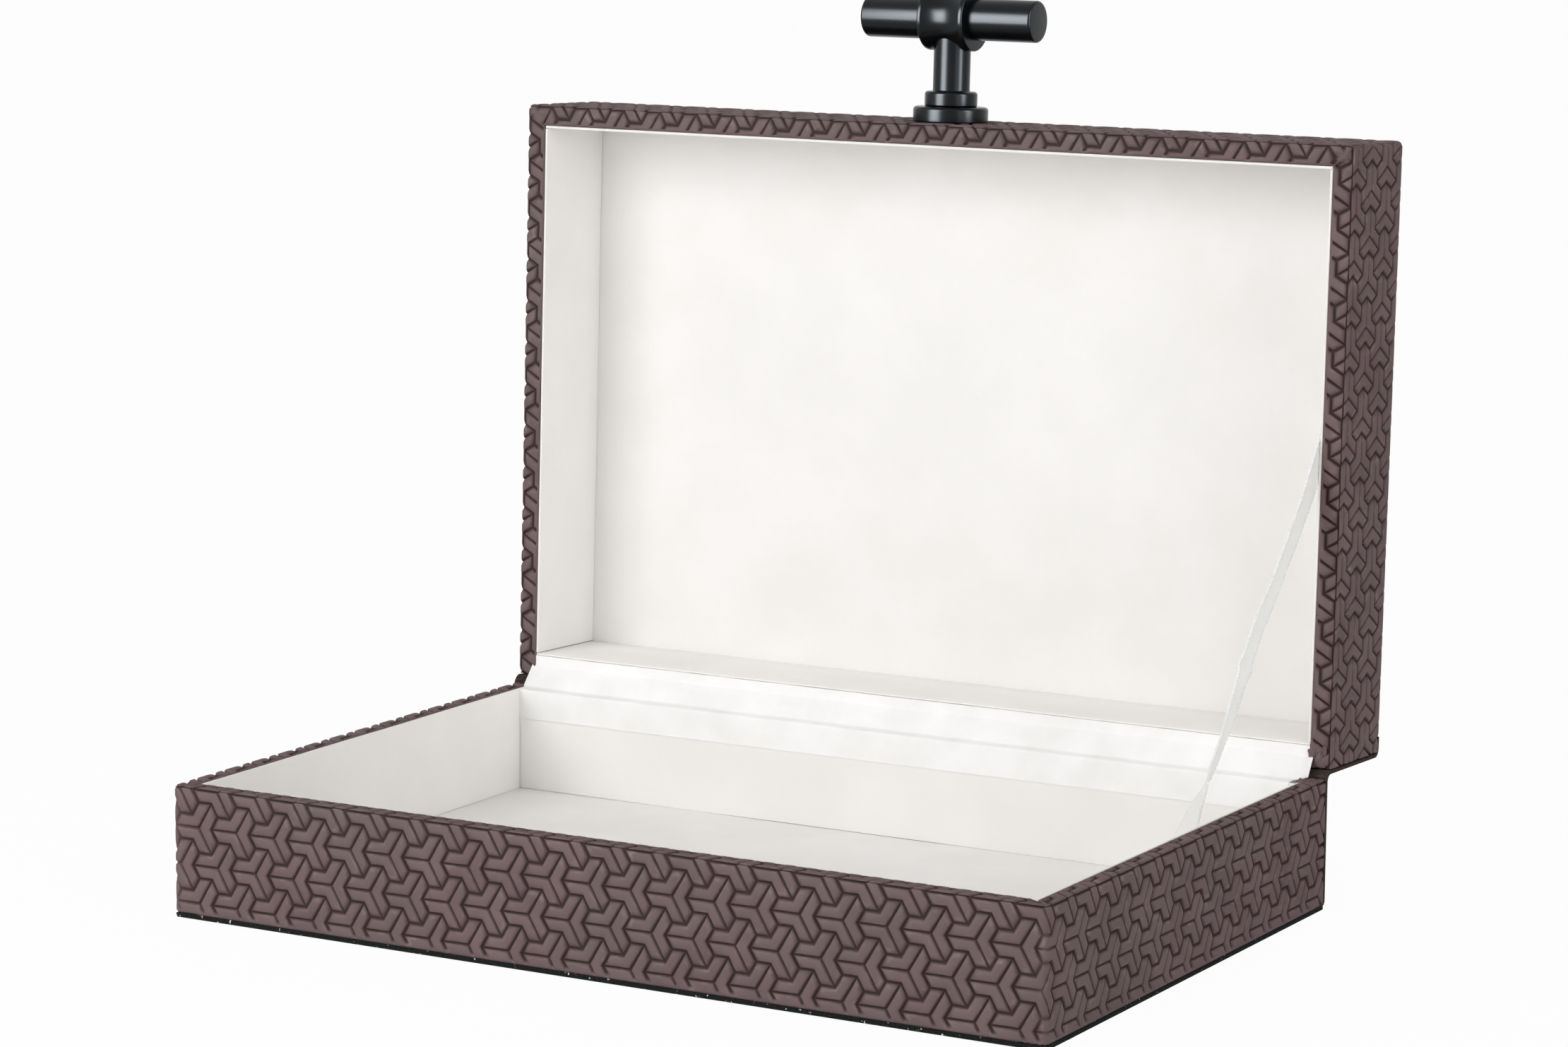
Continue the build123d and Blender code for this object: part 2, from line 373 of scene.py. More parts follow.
@dataclass(frozen=True)
class SatinRibbon(Finish):
    """Polyester satin ribbon: cream-white, thin enough to let light through, with looped selvedges."""

    name: str = "polyester_satin_ribbon"
    roughness: float = 0.55
    specular: float = 0.08
    face: str = "#FFFDF1"
    layers: tuple[Layer, ...] = (Layer("#FFFFF6", "stitches"),)
    reliefs: tuple[Relief, ...] = (Relief("weft", 0.02), Relief("stitches", 0.12))
    # Light spreads 1.5 mm through the weave
    others: tuple[tuple[str, object], ...] = (
        ("Subsurface Weight", 0.9),
        ("Subsurface Radius", (1.0, 1.0, 0.95)),
        ("Subsurface Scale", 1.5 * MM),
    )
    # Weft threads are 0.2 mm apart, drawn at 0.5 mm so that they show
    weft_mm: float = 0.5
    # The selvedge's loops are 1.1 mm apart, as the ribbon's own mesh has them
    loop_mm: float = 1.1

    def patterns(self, tree: bpy.types.NodeTree, place: bpy.types.NodeSocket) -> Sockets:
        """Lay the threads on the ribbon's own UV map, across from 0 to 1 and along in millimetres.

        Args:
            tree: The material's tree.
            place: Object coordinates, which the ribbon doesn't use.

        Returns:
            The weft's height, and the selvedges' stitches.
        """
        own = add(tree, "ShaderNodeUVMap", uv_map="ribbon").outputs[0]
        across, along, _ = add(tree, "ShaderNodeSeparateXYZ", {0: own}).outputs
        away = add(tree, "ShaderNodeMath", {0: across, 1: 0.5}, operation="SUBTRACT").outputs[0]
        away = add(tree, "ShaderNodeMath", {0: away}, operation="ABSOLUTE").outputs[0]
        # Each selvedge is the outer tenth of the width
        selvedge = add(tree, "ShaderNodeMapRange", {0: away, 1: 0.38, 2: 0.42}).outputs[0]
        waves = []
        for size in (self.weft_mm, self.loop_mm):
            inputs = {0: along, 1: 2 * math.pi / size}
            turns = add(tree, "ShaderNodeMath", inputs, operation="MULTIPLY").outputs[0]
            waves.append(add(tree, "ShaderNodeMath", {0: turns}, operation="SINE").outputs[0])
        stitches = add(tree, "ShaderNodeMapRange", {0: waves[1], 1: -0.2, 2: 0.6, 4: selvedge}).outputs[0]
        return {"weft": waves[0], "stitches": stitches}


@dataclass(frozen=True)
class WoolFelt(Finish):
    """Pressed wool felt sole: near-black green, fuzzy, with white lint caught in it."""

    name: str = "pressed_felt"
    roughness: float = 1.0
    specular: float = 0.1
    face: str = "#050606"
    layers: tuple[Layer, ...] = (
        # Tufts of fibre stand up to 1 mm apart
        Layer("#151918", Grain(0.9, 5), 0.35, 0.7),
        Layer("#C9CDC9", Grain(1.1), 0.68, 0.72),
    )
    reliefs: tuple[Relief, ...] = (Relief(Grain(0.9, 5), 0.25),)


@dataclass(frozen=True)
class BlackMetal(Finish):
    """Zinc casting under black electrophoretic lacquer: satin black film with crisp, cool highlights."""

    name: str = "black_lacquered_zinc"
    roughness: float = 0.235
    specular: float = 0.2
    face: str = "#090B0E"
    layers: tuple[Layer, ...] = (Layer("#06080A", Grain(12), 0.35, 0.65),)
    # Polishing marks are microns wide, drawn at 0.5 mm and very shallow
    reliefs: tuple[Relief, ...] = (Relief(Grain(0.5), 0.004),)
    sheen: Sheen = Sheen(Grain(0.5), -0.03, 0.05)
    # The film's highlights are a little cool
    others: tuple[tuple[str, object], ...] = (("Specular Tint", linear("#EFF5FA")),)


@dataclass(frozen=True)
class ZincSteel(Finish):
    """Zinc-plated steel of the hidden screw and washer: pale, slightly dull metal."""

    name: str = "zinc_plated_steel"
    roughness: float = 0.35
    metallic: float = 1.0
    face: str = "#B9BCC0"
    # Crystals of the plating, 1.5 mm across
    layers: tuple[Layer, ...] = (Layer("#9DA1A6", Grain(1.5), 0.35, 0.65),)
    reliefs: tuple[Relief, ...] = (Relief(Grain(0.4), 0.01),)


class Stock(Enum):
    """The record's material slots, each with its finish."""

    COVER = ("embossed_cover", Leatherette())
    SPINE = ("spine_sheet", Leatherette(name="pu_leatherette_spine"))
    BACKING = ("spine_sheet", FibreBacking())
    PAPER = ("lining_paper", LiningPaper())
    GLUED = ("lining_paper", GluedEdge())
    BOARD = ("greyboard", Greyboard())
    CLOTH = ("hinge_cloth", HingeCloth())
    RIBBON = ("ribbon", SatinRibbon())
    FELT = ("felt", WoolFelt())
    BLACK = ("black_metal", BlackMetal())
    STEEL = ("steel", ZincSteel())

    @property
    def slot(self) -> str:
        """Name of the record's slot."""
        return self.value[0]

    @property
    def material(self) -> bpy.types.Material:
        """The material, built when it is first asked for."""
        name = self.value[1].name
        return bpy.data.materials.get(name) or self.value[1].make()


# Meshes


@dataclass
class Shell:
    """Points in millimetres with faces, each face with its material's number."""

    points: np.ndarray
    faces: list[tuple[int, ...]]
    kinds: list[int] = field(default_factory=list)
    # Depth of each point in the grooves, from which the leatherette paints shade
    groove: Optional[np.ndarray] = None
    uv: Optional[np.ndarray] = None
    sharp: float = 40.0


def make_piece(
    name: str,
    shell: Shell,
    stocks: Sequence[Stock],
    body: str,
    stands_for: Iterable[str] = (),
    place: Optional[Callable[[np.ndarray], np.ndarray]] = None,
) -> bpy.types.Object:
    """Turn a shell into a finished piece.

    Args:
        name: The piece's name.
        shell: Its mesh in millimetres.
        stocks: Its materials, in the order of the faces' material numbers.
        body: The body that it rides on, or "" for a piece that rides on none.
        stands_for: CAD nodes that it replaces.
        place: Turns points into the frame at rest, or None where they are there already.

    Returns:
        The new object.
    """
    points = place(shell.points) if place else shell.points
    mesh = bpy.data.meshes.new(name)
    mesh.from_pydata((points * MM).tolist(), [], shell.faces)
    mesh.update()
    for stock in stocks:
        mesh.materials.append(stock.material)
    if shell.kinds:
        mesh.polygons.foreach_set("material_index", np.array(shell.kinds, np.int32))
    if shell.groove is not None:
        # Groove depth, which the leatherette turns into painted shade
        groove = mesh.attributes.new("groove", "FLOAT", "POINT")
        groove.data.foreach_set("value", shell.groove.astype(np.float32))
    if shell.uv is not None:
        corners = np.empty(len(mesh.loops), np.int32)
        mesh.loops.foreach_get("vertex_index", corners)
        mesh.uv_layers.new(name="ribbon").data.foreach_set("uv", shell.uv[corners].astype(np.float32).ravel())
    mesh.shade_smooth()
    mesh.set_sharp_from_angle(angle=math.radians(shell.sharp))
    mesh.validate()
    piece = bpy.data.objects.new(name, mesh)
    bpy.context.scene.collection.objects.link(piece)
    if stands_for:
        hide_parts(*stands_for)
    if body:
        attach(piece, body)
    log.info("%s: %d faces", name, len(mesh.polygons))
    return piece


def dress_nodes(names: Iterable[str], stock: Stock) -> None:
    """Give CAD nodes that stay in the scene their material."""
    for name in names:
        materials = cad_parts[name].data.materials
        materials.clear()
        materials.append(stock.material)


def grid_faces(rows: int, columns: int) -> list[tuple[int, ...]]:
    """Quads of a grid of points, row by row."""
    corners = [i * columns + j for i in range(rows - 1) for j in range(columns - 1)]
    return [(k, k + 1, k + columns + 1, k + columns) for k in corners]


def lathe(profile: Sequence[Pair], steps: int = 96) -> Shell:
    """Turn a profile about Z.

    Args:
        profile: Radius and height pairs from the lower pole to the upper one, both with radius 0.
        steps: Number of facets round the axis.

    Returns:
        A closed shell.
    """
    angles = np.linspace(0, 2 * math.pi, steps, endpoint=False)
    rings = profile[1:-1]
    points = [(0.0, 0.0, profile[0][1])]
    for radius, height in rings:
        points += [(radius * math.cos(a), radius * math.sin(a), height) for a in angles]
    points.append((0.0, 0.0, profile[-1][1]))
    faces: list[tuple[int, ...]] = []
    for j in range(steps):
        k = (j + 1) % steps
        faces.append((0, 1 + k, 1 + j))
        for i in range(len(rings) - 1):
            a, b = 1 + i * steps, 1 + (i + 1) * steps
            faces.append((a + j, a + k, b + k, b + j))
        top = 1 + (len(rings) - 1) * steps
        faces.append((top + j, top + k, len(points) - 1))
    return Shell(np.array(points), faces)


def rounded(corners: Sequence[Triple], steps: int) -> list[Pair]:
    """Round the corners of an open outline.

    Args:
        corners: Each point with its rounding radius, 0 for a sharp one.
        steps: Facets in each rounded corner.

    Returns:
        The outline's points.
    """
    out: list[Pair] = []
    for i, (x, y, radius) in enumerate(corners):
        here = np.array((x, y))
        if radius <= 0 or i in (0, len(corners) - 1):
            out.append((x, y))
            continue
        before = np.array(corners[i - 1][:2]) - here
        after = np.array(corners[i + 1][:2]) - here
        u, v = before / np.linalg.norm(before), after / np.linalg.norm(after)
        half = math.acos(float(np.clip(u @ v, -1, 1))) / 2
        reach = radius / math.tan(half)
        middle = here + (u + v) / np.linalg.norm(u + v) * radius / math.sin(half)
        first, last = here + u * reach - middle, here + v * reach - middle
        turn = math.atan2(first[0] * last[1] - first[1] * last[0], first @ last)
        for k in range(steps + 1):
            a = turn * k / steps
            out.append(
                (
                    middle[0] + first[0] * math.cos(a) - first[1] * math.sin(a),
                    middle[1] + first[0] * math.sin(a) + first[1] * math.cos(a),
                )
            )
    return out


def smooth_step(x: np.ndarray) -> np.ndarray:
    """Ease from 0 to 1 as x goes from 0 to 1."""
    x = np.clip(x, 0, 1)
    return x * x * (3 - 2 * x)


# The two halves' sizes


@dataclass(frozen=True)
class TrayForm:
    """One half of the box, rim up and front at -Y, in millimetres."""

    depth: float
    height: float
    wall: float
    floor: float
    floor_card: float
    sheet: float
    half: float = 140.0
    front: float = -90.25
    # Thickness of the cover on the walls, over the rim, under the floor and behind the back board
    cover: float = 1.2
    wrap: float = 0.8
    flap: float = 0.6
    back_flap: float = 0.9
    # Thickness of the spine sheet and of the wall cards, and how far the cards stay under the rim
    spine: float = 1.5
    card: float = 0.8
    card_drop: float = 0.3
    # Radius of the front corners in plan and of the covered edges
    corner: float = 1.8
    edge: float = 1.0

    @property
    def back(self) -> float:
        """Outer back plane."""
        return self.front + self.depth

    @property
    def back_sheet(self) -> float:
        """Where the band ends against the spine sheet."""
        return self.back - self.spine

    @property
    def rim_width(self) -> float:
        """Width of the covered rim."""
        return self.cover + self.wall

    @property
    def in_x(self) -> float:
        """Inner face of the side boards."""
        return self.half - self.rim_width

    @property
    def in_front(self) -> float:
        """Inner face of the front board."""
        return self.front + self.rim_width

    @property
    def in_back(self) -> float:
        """Inner face of the back board."""
        return self.back_sheet - self.back_flap - self.wall

    @property
    def floor_top(self) -> float:
        """Top of the floor board."""
        return self.sheet + self.flap + self.floor

    @property
    def card_top(self) -> float:
        """Top of the floor's lining card."""
        return self.floor_top + self.floor_card


@dataclass(frozen=True)
class Hinge:
    """The hinge line and how far the lid stands open."""

    y: float = 92.05
    z: float = 40.05
    angle: float = 92.0
    rim: float = 39.4
    crown: float = 76.8

    def open(self, shut: np.ndarray) -> np.ndarray:
        """Swing points of the shut lid to where the lid stands open.

        Args:
            shut: Points in the frame, with the lid shut.

        Returns:
            The same points in the frame at rest.
        """
        c, s = math.cos(math.radians(-self.angle)), math.sin(math.radians(-self.angle))
        y, z = shut[:, 1] - self.y, shut[:, 2] - self.z
        return np.column_stack((shut[:, 0], self.y + y * c - z * s, self.z + y * s + z * c))

    def lid(self, tray: np.ndarray) -> np.ndarray:
        """Take points of the lid, rim up, to where the lid stands open."""
        return self.open(np.column_stack((-tray[:, 0], tray[:, 1], self.crown - tray[:, 2])))

    def lid_point(self, y: float, depth: float) -> Pair:
        """Side view place of a lid point, from its shut Y and its depth behind the lid's rim."""
        at = self.open(np.array([[0.0, y, self.rim + depth]]))[0]
        return float(at[1]), float(at[2])


# How far the spine sheet's ends stand back from the sides
SPINE_INSET = 0.07

BASE = TrayForm(depth=180.5, height=39.0, wall=4.5, floor=3.6, floor_card=0.8, sheet=1.5)
LID = TrayForm(depth=182.3, height=37.4, wall=5.3, floor=2.2, floor_card=0.6, sheet=0.8)
HINGE = Hinge()


# The embossed sheet


@dataclass(frozen=True)
class Ring:
    """One contour of the pressed figure: its inset at the three kinds of side, and its height."""

    centre: float
    side: float
    end: float
    height: float


@dataclass(frozen=True)
class Emboss:
    """Interlocking three-armed figures, each of three bent bars, pressed into the sheet."""

    # Distance between figures along a row and between rows, and depth of the grooves and of a figure's centre
    pitch: float = 13.15
    row: float = 11.1
    depth: float = 0.72
    centre_depth: float = 0.68
    rings: tuple[Ring, ...] = (
        Ring(0.3, 0.38, 0.38, -0.6),
        Ring(0.42, 0.52, 0.65, -0.34),
        Ring(0.65, 0.85, 1.5, -0.1),
        Ring(1.05, 1.4, 2.4, 0.0),
    )

    def bar(self) -> bpy.types.Object:
        """Make the bent bar between two arms' centre lines, as stacked contours.

        Returns:
            An object with the bar's mesh, in millimetres, for the lattice to repeat.
        """
        p = self.pitch
        reach, wide = 2 * p / 3, p / (2 * math.sqrt(3))

        def polar(angle: float, along: float, left: float = 0.0) -> Pair:
            """Point along a direction and to its left."""
            c, s = math.cos(math.radians(angle)), math.sin(math.radians(angle))
            return along * c - left * s, along * s + left * c

        outline = [
            (0.0, 0.0),
            polar(60, reach),
            polar(60, p / 2, wide),
            polar(120, p / 3),
            polar(180, p / 2, -wide),
            polar(180, reach),
        ]
        # Kind of each side of the outline, which picks a contour's inset from it
        sides = ("centre", "end", "side", "side", "end", "centre")
        levels = [[(x, y, -self.depth) for x, y in outline]]
        levels[0][0] = (0.0, 0.0, -self.centre_depth)
        for ring in self.rings:
            inset = [getattr(ring, side) for side in sides]
            level = []
            for i in range(len(outline)):
                lines = []
                for j in (i - 1, i):
                    a, b = np.array(outline[j]), np.array(outline[(j + 1) % 6])
                    way = (b - a) / np.linalg.norm(b - a)
                    inward = np.array((-way[1], way[0]))
                    lines.append((inward, inward @ a + inset[j]))
                spot = np.linalg.solve(*(np.array(part) for part in zip(*lines)))
                level.append((float(spot[0]), float(spot[1]), ring.height))
            levels.append(level)
        faces = [
            (6 * k + i, 6 * k + (i + 1) % 6, 6 * k + 6 + (i + 1) % 6, 6 * k + 6 + i)
            for k in range(len(self.rings))
            for i in range(6)
        ]
        top = 6 * len(self.rings)
        faces += [(top, top + 1, top + 2, top + 3), (top, top + 3, top + 4, top + 5)]
        mesh = bpy.data.meshes.new("bent_bar")
        mesh.from_pydata([point for level in levels for point in level], [], faces)
        bar = bpy.data.objects.new("bent_bar", mesh)
        bpy.context.scene.collection.objects.link(bar)
        return bar

    def lattice(self) -> bpy.types.NodeTree:
        """Build the tree that repeats the bar: three to a figure, figures in staggered rows.

        Returns:
            A geometry node tree with inputs Bar, Pitch, Columns, Rows and Finish.
        """
        tree = bpy.data.node_groups.new("staggered_figures", "GeometryNodeTree")
        for name, kind in (
            ("Bar", "NodeSocketObject"),
            ("Pitch", "NodeSocketFloat"),
            ("Columns", "NodeSocketInt"),
            ("Rows", "NodeSocketInt"),
            ("Finish", "NodeSocketMaterial"),
        ):
            tree.interface.new_socket(name=name, in_out="INPUT", socket_type=kind)
        tree.interface.new_socket(name="Sheet", in_out="OUTPUT", socket_type="NodeSocketGeometry")
        given = add(tree, "NodeGroupInput").outputs
        values: dict[object, object] = {name: given[name] for name in ("Pitch", "Columns", "Rows")}
        values["index"] = add(tree, "GeometryNodeInputIndex").outputs[0]
        # Every sum takes numbers, inputs and the results of those before it
        for name, kind, first, second in (
            ("row pitch", "MULTIPLY", "Pitch", math.sqrt(3) / 2),
            ("gaps across", "SUBTRACT", "Columns", 1.0),
            ("gaps up", "SUBTRACT", "Rows", 1.0),
            ("width", "MULTIPLY", "gaps across", "Pitch"),
            ("height", "MULTIPLY", "gaps up", "row pitch"),
            ("row", "MODULO", "index", "Rows"),
            ("odd row", "MODULO", "row", 2.0),
            ("half pitch", "MULTIPLY", "Pitch", 0.5),
            ("stagger", "MULTIPLY", "odd row", "half pitch"),
        ):
            inputs = {0: values.get(first, first), 1: values.get(second, second)}
            values[name] = add(tree, "ShaderNodeMath", inputs, operation=kind).outputs[0]
        inputs = {"Size X": values["width"], "Size Y": values["height"]}
        inputs |= {"Vertices X": given["Columns"], "Vertices Y": given["Rows"]}
        grid = add(tree, "GeometryNodeMeshGrid", inputs).outputs["Mesh"]
        shift = add(tree, "ShaderNodeCombineXYZ", {0: values["stagger"]}).outputs[0]
        places = add(tree, "GeometryNodeSetPosition", {"Geometry": grid, "Offset": shift}).outputs[0]
        bar = add(tree, "GeometryNodeObjectInfo", {"Object": given["Bar"]}).outputs["Geometry"]
        joined = add(tree, "GeometryNodeJoinGeometry")
        for third in range(3):
            inputs = {"Points": places, "Instance": bar, "Rotation": Euler((0, 0, third * 2 * math.pi / 3))}
            feed(tree, joined, {0: add(tree, "GeometryNodeInstanceOnPoints", inputs).outputs[0]})
        real = add(tree, "GeometryNodeRealizeInstances", {0: joined.outputs[0]}).outputs[0]
        welded = add(tree, "GeometryNodeMergeByDistance", {"Geometry": real, "Distance": 0.01}).outputs[0]
        dressed = add(tree, "GeometryNodeSetMaterial", {"Geometry": welded, "Material": given["Finish"]})
        add(tree, "NodeGroupOutput", {"Sheet": dressed.outputs[0]})
        return tree

    def patch(self, u: Pair, v: Pair, phase: Pair, turned: bool, bar: bpy.types.Object) -> bmesh.types.BMesh:
        """Lay a flat stretch of the sheet.

        Args:
            u: Its limits along the wall.
            v: Its limits up the wall.
            phase: Place of one figure's centre.
            turned: Whether the figures are turned by half a turn.
            bar: The bar that is repeated.

        Returns:
            The sheet, flat in XY with its height in Z, in millimetres, larger than asked.
        """
        # The rows are a little closer than in an even lattice, and the grid's middle is a figure's centre
        squeeze = self.row / (self.pitch * math.sqrt(3) / 2)
        columns = 2 * math.ceil((u[1] - u[0]) / self.pitch / 2 + 1.5) + 1
        rows = 4 * math.ceil((v[1] - v[0]) / self.row / 4 + 0.6) + 1
        tree = bpy.data.node_groups.get("staggered_figures") or self.lattice()
        host = bpy.data.objects.new("sheet_host", bpy.data.meshes.new("sheet_host"))
        bpy.context.scene.collection.objects.link(host)
        modifier = host.modifiers.new("figures", "NODES")
        modifier.node_group = tree
        values = {"Bar": bar, "Pitch": self.pitch, "Columns": columns, "Rows": rows}
        values["Finish"] = Stock.COVER.material
        for socket in tree.interface.items_tree:
            if socket.in_out == "INPUT":
                modifier[socket.identifier] = values[socket.name]
        graph = bpy.context.evaluated_depsgraph_get()
        mesh = bpy.data.meshes.new_from_object(host.evaluated_get(graph))
        bpy.data.objects.remove(host)
        sheet = bmesh.new()
        sheet.from_mesh(mesh)
        bpy.data.meshes.remove(mesh)
        n = round(((u[0] + u[1]) / 2 - phase[0]) / self.pitch)
        m = 2 * round(((v[0] + v[1]) / 2 - phase[1]) / self.row / 2)
        sign = -1 if turned else 1
        for vert in sheet.verts:
            x, y, z = vert.co
            vert.co = (phase[0] + n * self.pitch + sign * x, phase[1] + m * self.row + sign * y * squeeze, z)
        return sheet


def cut(sheet: bmesh.types.BMesh, point: Pair, normal: Pair, trim: bool = False) -> None:
    """Cut a flat sheet along a line, and drop what lies beyond it where trim is set."""
    bmesh.ops.bisect_plane(
        sheet,
        geom=[*sheet.verts, *sheet.edges, *sheet.faces],
        dist=1e-4,
        plane_co=(*point, 0),
        plane_no=(*normal, 0),
        clear_outer=trim,
    )


@dataclass(frozen=True)
class Profile:
    """Where a sheet runs across a wall: distance along it, inset, height and outward direction."""

    run: np.ndarray
    inset: np.ndarray
    height: np.ndarray
    out_inset: np.ndarray
    out_height: np.ndarray
    over_rim: bool
    # Facets in a quarter turn
    steps: ClassVar[int] = 4

    @property
    def rim_edge(self) -> float:
        """Distance where the sheet is halfway round the rim's outer edge."""
        return float(self.run[self.steps + 2 + self.steps // 2])

    @property
    def rim_flat(self) -> slice:
        """Rows at the two ends of the rim's flat part."""
        return slice(2 * self.steps + 2, 2 * self.steps + 4)

    @classmethod
    def over(cls, form: TrayForm, bottom: float, flap: float, top: Optional[float]) -> "Profile":
        """Follow a wall from the flap under the floor, up the wall and over the rim.

        Args:
            form: The tray.
            bottom: Radius of the lower edge.
            flap: Width of the flap that is modelled.
            top: Height where the sheet stops, or None to go over the rim and roll in behind it.

        Returns:
            The profile, whose distance equals the height on the upright part.
        """
        low, high, e, roll = form.sheet, form.height, form.edge, form.wrap
        angles = [math.pi / 2 * k / cls.steps for k in range(cls.steps + 1)]
        turns = [(math.sin(a), math.cos(a)) for a in angles]
        knots = [(flap, low, 0.0, -1.0)]
        knots += [(bottom * (1 - s), low + bottom * (1 - c), -s, -c) for s, c in turns]
        if top is None:
            knots += [(e * (1 - c), high - e * (1 - s), -c, s) for s, c in turns]
            knots += [(form.rim_width - roll * (1 - s), high - roll * (1 - c), s, c) for s, c in turns]
        else:
            knots.append((0.0, top, -1.0, 0.0))
        table = np.array(knots)
        run = np.concatenate(([0.0], np.cumsum(np.hypot(*np.diff(table[:, :2], axis=0).T))))
        run += low + bottom - run[cls.steps + 1]
        return cls(run, *table.T, over_rim=top is None)

    def at(self, s: np.ndarray) -> tuple[np.ndarray, ...]:
        """Find where the sheet is and faces.

        Args:
            s: Distances along the profile.

        Returns:
            Inset, height, and the outward direction's part along each.
        """
        t, z, nt, nz = (
            np.interp(s, self.run, row) for row in (self.inset, self.height, self.out_inset, self.out_height)
        )
        size = np.hypot(nt, nz)
        return t, z, nt / size, nz / size


@dataclass(frozen=True)
class Wall:
    """One side that the sheet covers: its line in plan, its ends, and the sheet's place on it."""

    origin: Pair
    along: Pair
    inward: Pair
    ends: Pair
    mitres: tuple[bool, bool]
    slide: float

    def sides(self) -> Iterator[tuple[float, bool, int]]:
        """Each end's place along the wall, whether it is mitred, and which way it lies."""
        return zip(self.ends, self.mitres, (-1, 1))


@dataclass(frozen=True)
class CoverSheet:
    """Embossed sheet with its thickness, laid over walls."""

    emboss: Emboss
    form: TrayForm
    profile: Profile
    thickness: float
    phase: Pair
    turned: bool
    bar: bpy.types.Object
    # Widths over which the relief dies out above the lower edge, before the roll, along it and at the ends
    fade_low: float = 1.3
    fade_rim: float = 1.0
    fade_roll: float = 0.8
    fade_end: float = 0.0
    # Plain stretch above the lower edge
    plain_low: float = 0.3
    # Depth, unevenness and width of the crease along the rim's outer edge, and how far its changes are apart
    edge_crease_depth: float = 0.42
    edge_crease_uneven: float = 0.24
    edge_crease_width: float = 0.28
    edge_crease_wave: float = 6.0
    # Distance from a mitre within which the relief leans with it
    lean: float = 3.0
    # Share of the thickness that relief and creases may take, and how much more painted shade a crease gets
    # than a groove as deep
    deepest: float = 0.93
    crease_painted_shade: float = 1.1
    # How near two points are when they are merged, and how far from the front a mitre can reach
    seam: float = 0.004
    mitre_reach: float = 9.0
    # Each crease's place from the corner, its slant, width and depth
    creases: tuple[tuple[float, float, float, float], ...] = (
        (0.9, 0.95, 0.28, 0.4),
        (2.6, 0.55, 0.35, 0.45),
        (5.4, 0.1, 0.3, 0.35),
        (7.2, -0.35, 0.35, 0.3),
    )

    def panel(self, wall: Wall) -> tuple[np.ndarray, list[tuple[int, ...]]]:
        """Cut the flat sheet for one wall.

        Args:
            wall: The side that it covers.

        Returns:
            Distance along the wall, across it and height of each point, and the faces.
        """
        run = self.profile.run
        a0, a1 = wall.ends
        sheet = self.emboss.patch(
            (a0 + wall.slide, a1 + wall.slide), (run[0], run[-1]), self.phase, self.turned, self.bar
        )
        for vert in sheet.verts:
            vert.co.x -= wall.slide
        cut(sheet, (0, run[0]), (0, -1), trim=True)
        cut(sheet, (0, run[-1]), (0, 1), trim=True)
        for knot in [*run[1:-1], *self.rows()]:
            cut(sheet, (0, knot), (0, 1))
        if self.fade_end:
            for share in (0.5, 1.0):
                for end, _, sign in wall.sides():
                    cut(sheet, (end - sign * share * self.fade_end, 0), (1, 0))
        for end, mitred, sign in wall.sides():
            # A mitre is a straight cut once each row has slid by its own inset
            if mitred:
                self.slide_rows(sheet, sign)
            cut(sheet, (end, 0), (sign, 0), trim=True)
            if mitred:
                self.slide_rows(sheet, -sign)
                # Rows of points that round the corner
                for share in (0.0, 0.35, 0.7):
                    cut(sheet, (end - sign * self.form.corner * (1 - share), 0), (1, 0))
        sheet.verts.index_update()
        flat = np.array([vert.co[:] for vert in sheet.verts])
        faces = [tuple(vert.index for vert in face.verts) for face in sheet.faces]
        sheet.free()
        return flat, faces

    def slide_rows(self, sheet: bmesh.types.BMesh, way: int) -> None:
        """Slide each row of a flat sheet by its own inset."""
        for vert in sheet.verts:
            vert.co.x += way * np.interp(vert.co.y, self.profile.run, self.profile.inset)

    def rows(self) -> list[float]:
        """Find where the sheet needs rows of points besides its profile's.

        Returns:
            Distances where the relief starts to die out, and beside the crease along the rim's outer edge.
        """
        form, profile = self.form, self.profile
        found = [form.sheet + self.plain_low + self.fade_low]
        if profile.over_rim:
            inset, run = profile.inset[profile.rim_flat], profile.run[profile.rim_flat]
            for share in (0.0, 0.5, 1.0):
                t = form.rim_width - self.fade_rim + share * self.fade_roll
                if inset[0] < t < inset[1]:
                    found.append(float(np.interp(t, inset, run)))
            found += [profile.rim_edge + off for off in (-0.5, -0.22, 0.0, 0.22, 0.5)]
        return found

    def edge_crease(self, wall: Wall, flat: np.ndarray) -> np.ndarray:
        """Crease the sheet where it turns over the rim's outer edge.

        Args:
            wall: The side that it covers.
            flat: Distance along the wall, across it and height of each point.

        Returns:
            The crease's depth at each point.
        """
        if not self.profile.over_rim:
            return np.zeros(len(flat))
        along = flat[:, 0] / self.edge_crease_wave + wall.origin[0]
        uneven = np.array([noise.noise(Vector((a, wall.origin[1], 0.0))) for a in along])
        off = (flat[:, 1] - self.profile.rim_edge) / self.edge_crease_width
        return (self.edge_crease_depth + self.edge_crease_uneven * uneven) * np.exp(-(off**2))

    def lay(self, wall: Wall, flat: np.ndarray, height: np.ndarray) -> np.ndarray:
        """Bend a flat panel onto its wall.

        Args:
            wall: The side that it covers.
            flat: Distance along the wall, across it and height of each point.
            height: How far each point stands over the sheet's surface.

        Returns:
            Each point's place on the tray.
        """
        form = self.form
        t, z, nt, nz = self.profile.at(flat[:, 1])
        sunk = t + height * nt
        a = flat[:, 0].copy()
        for end, mitred, sign in wall.sides():
            if mitred:
                near = smooth_step(1 - (sign * (end - flat[:, 0]) - t) / self.lean)
                a -= sign * (sunk - t) * near
        xy = np.array(wall.origin) + np.outer(a, wall.along) + np.outer(sunk, wall.inward)
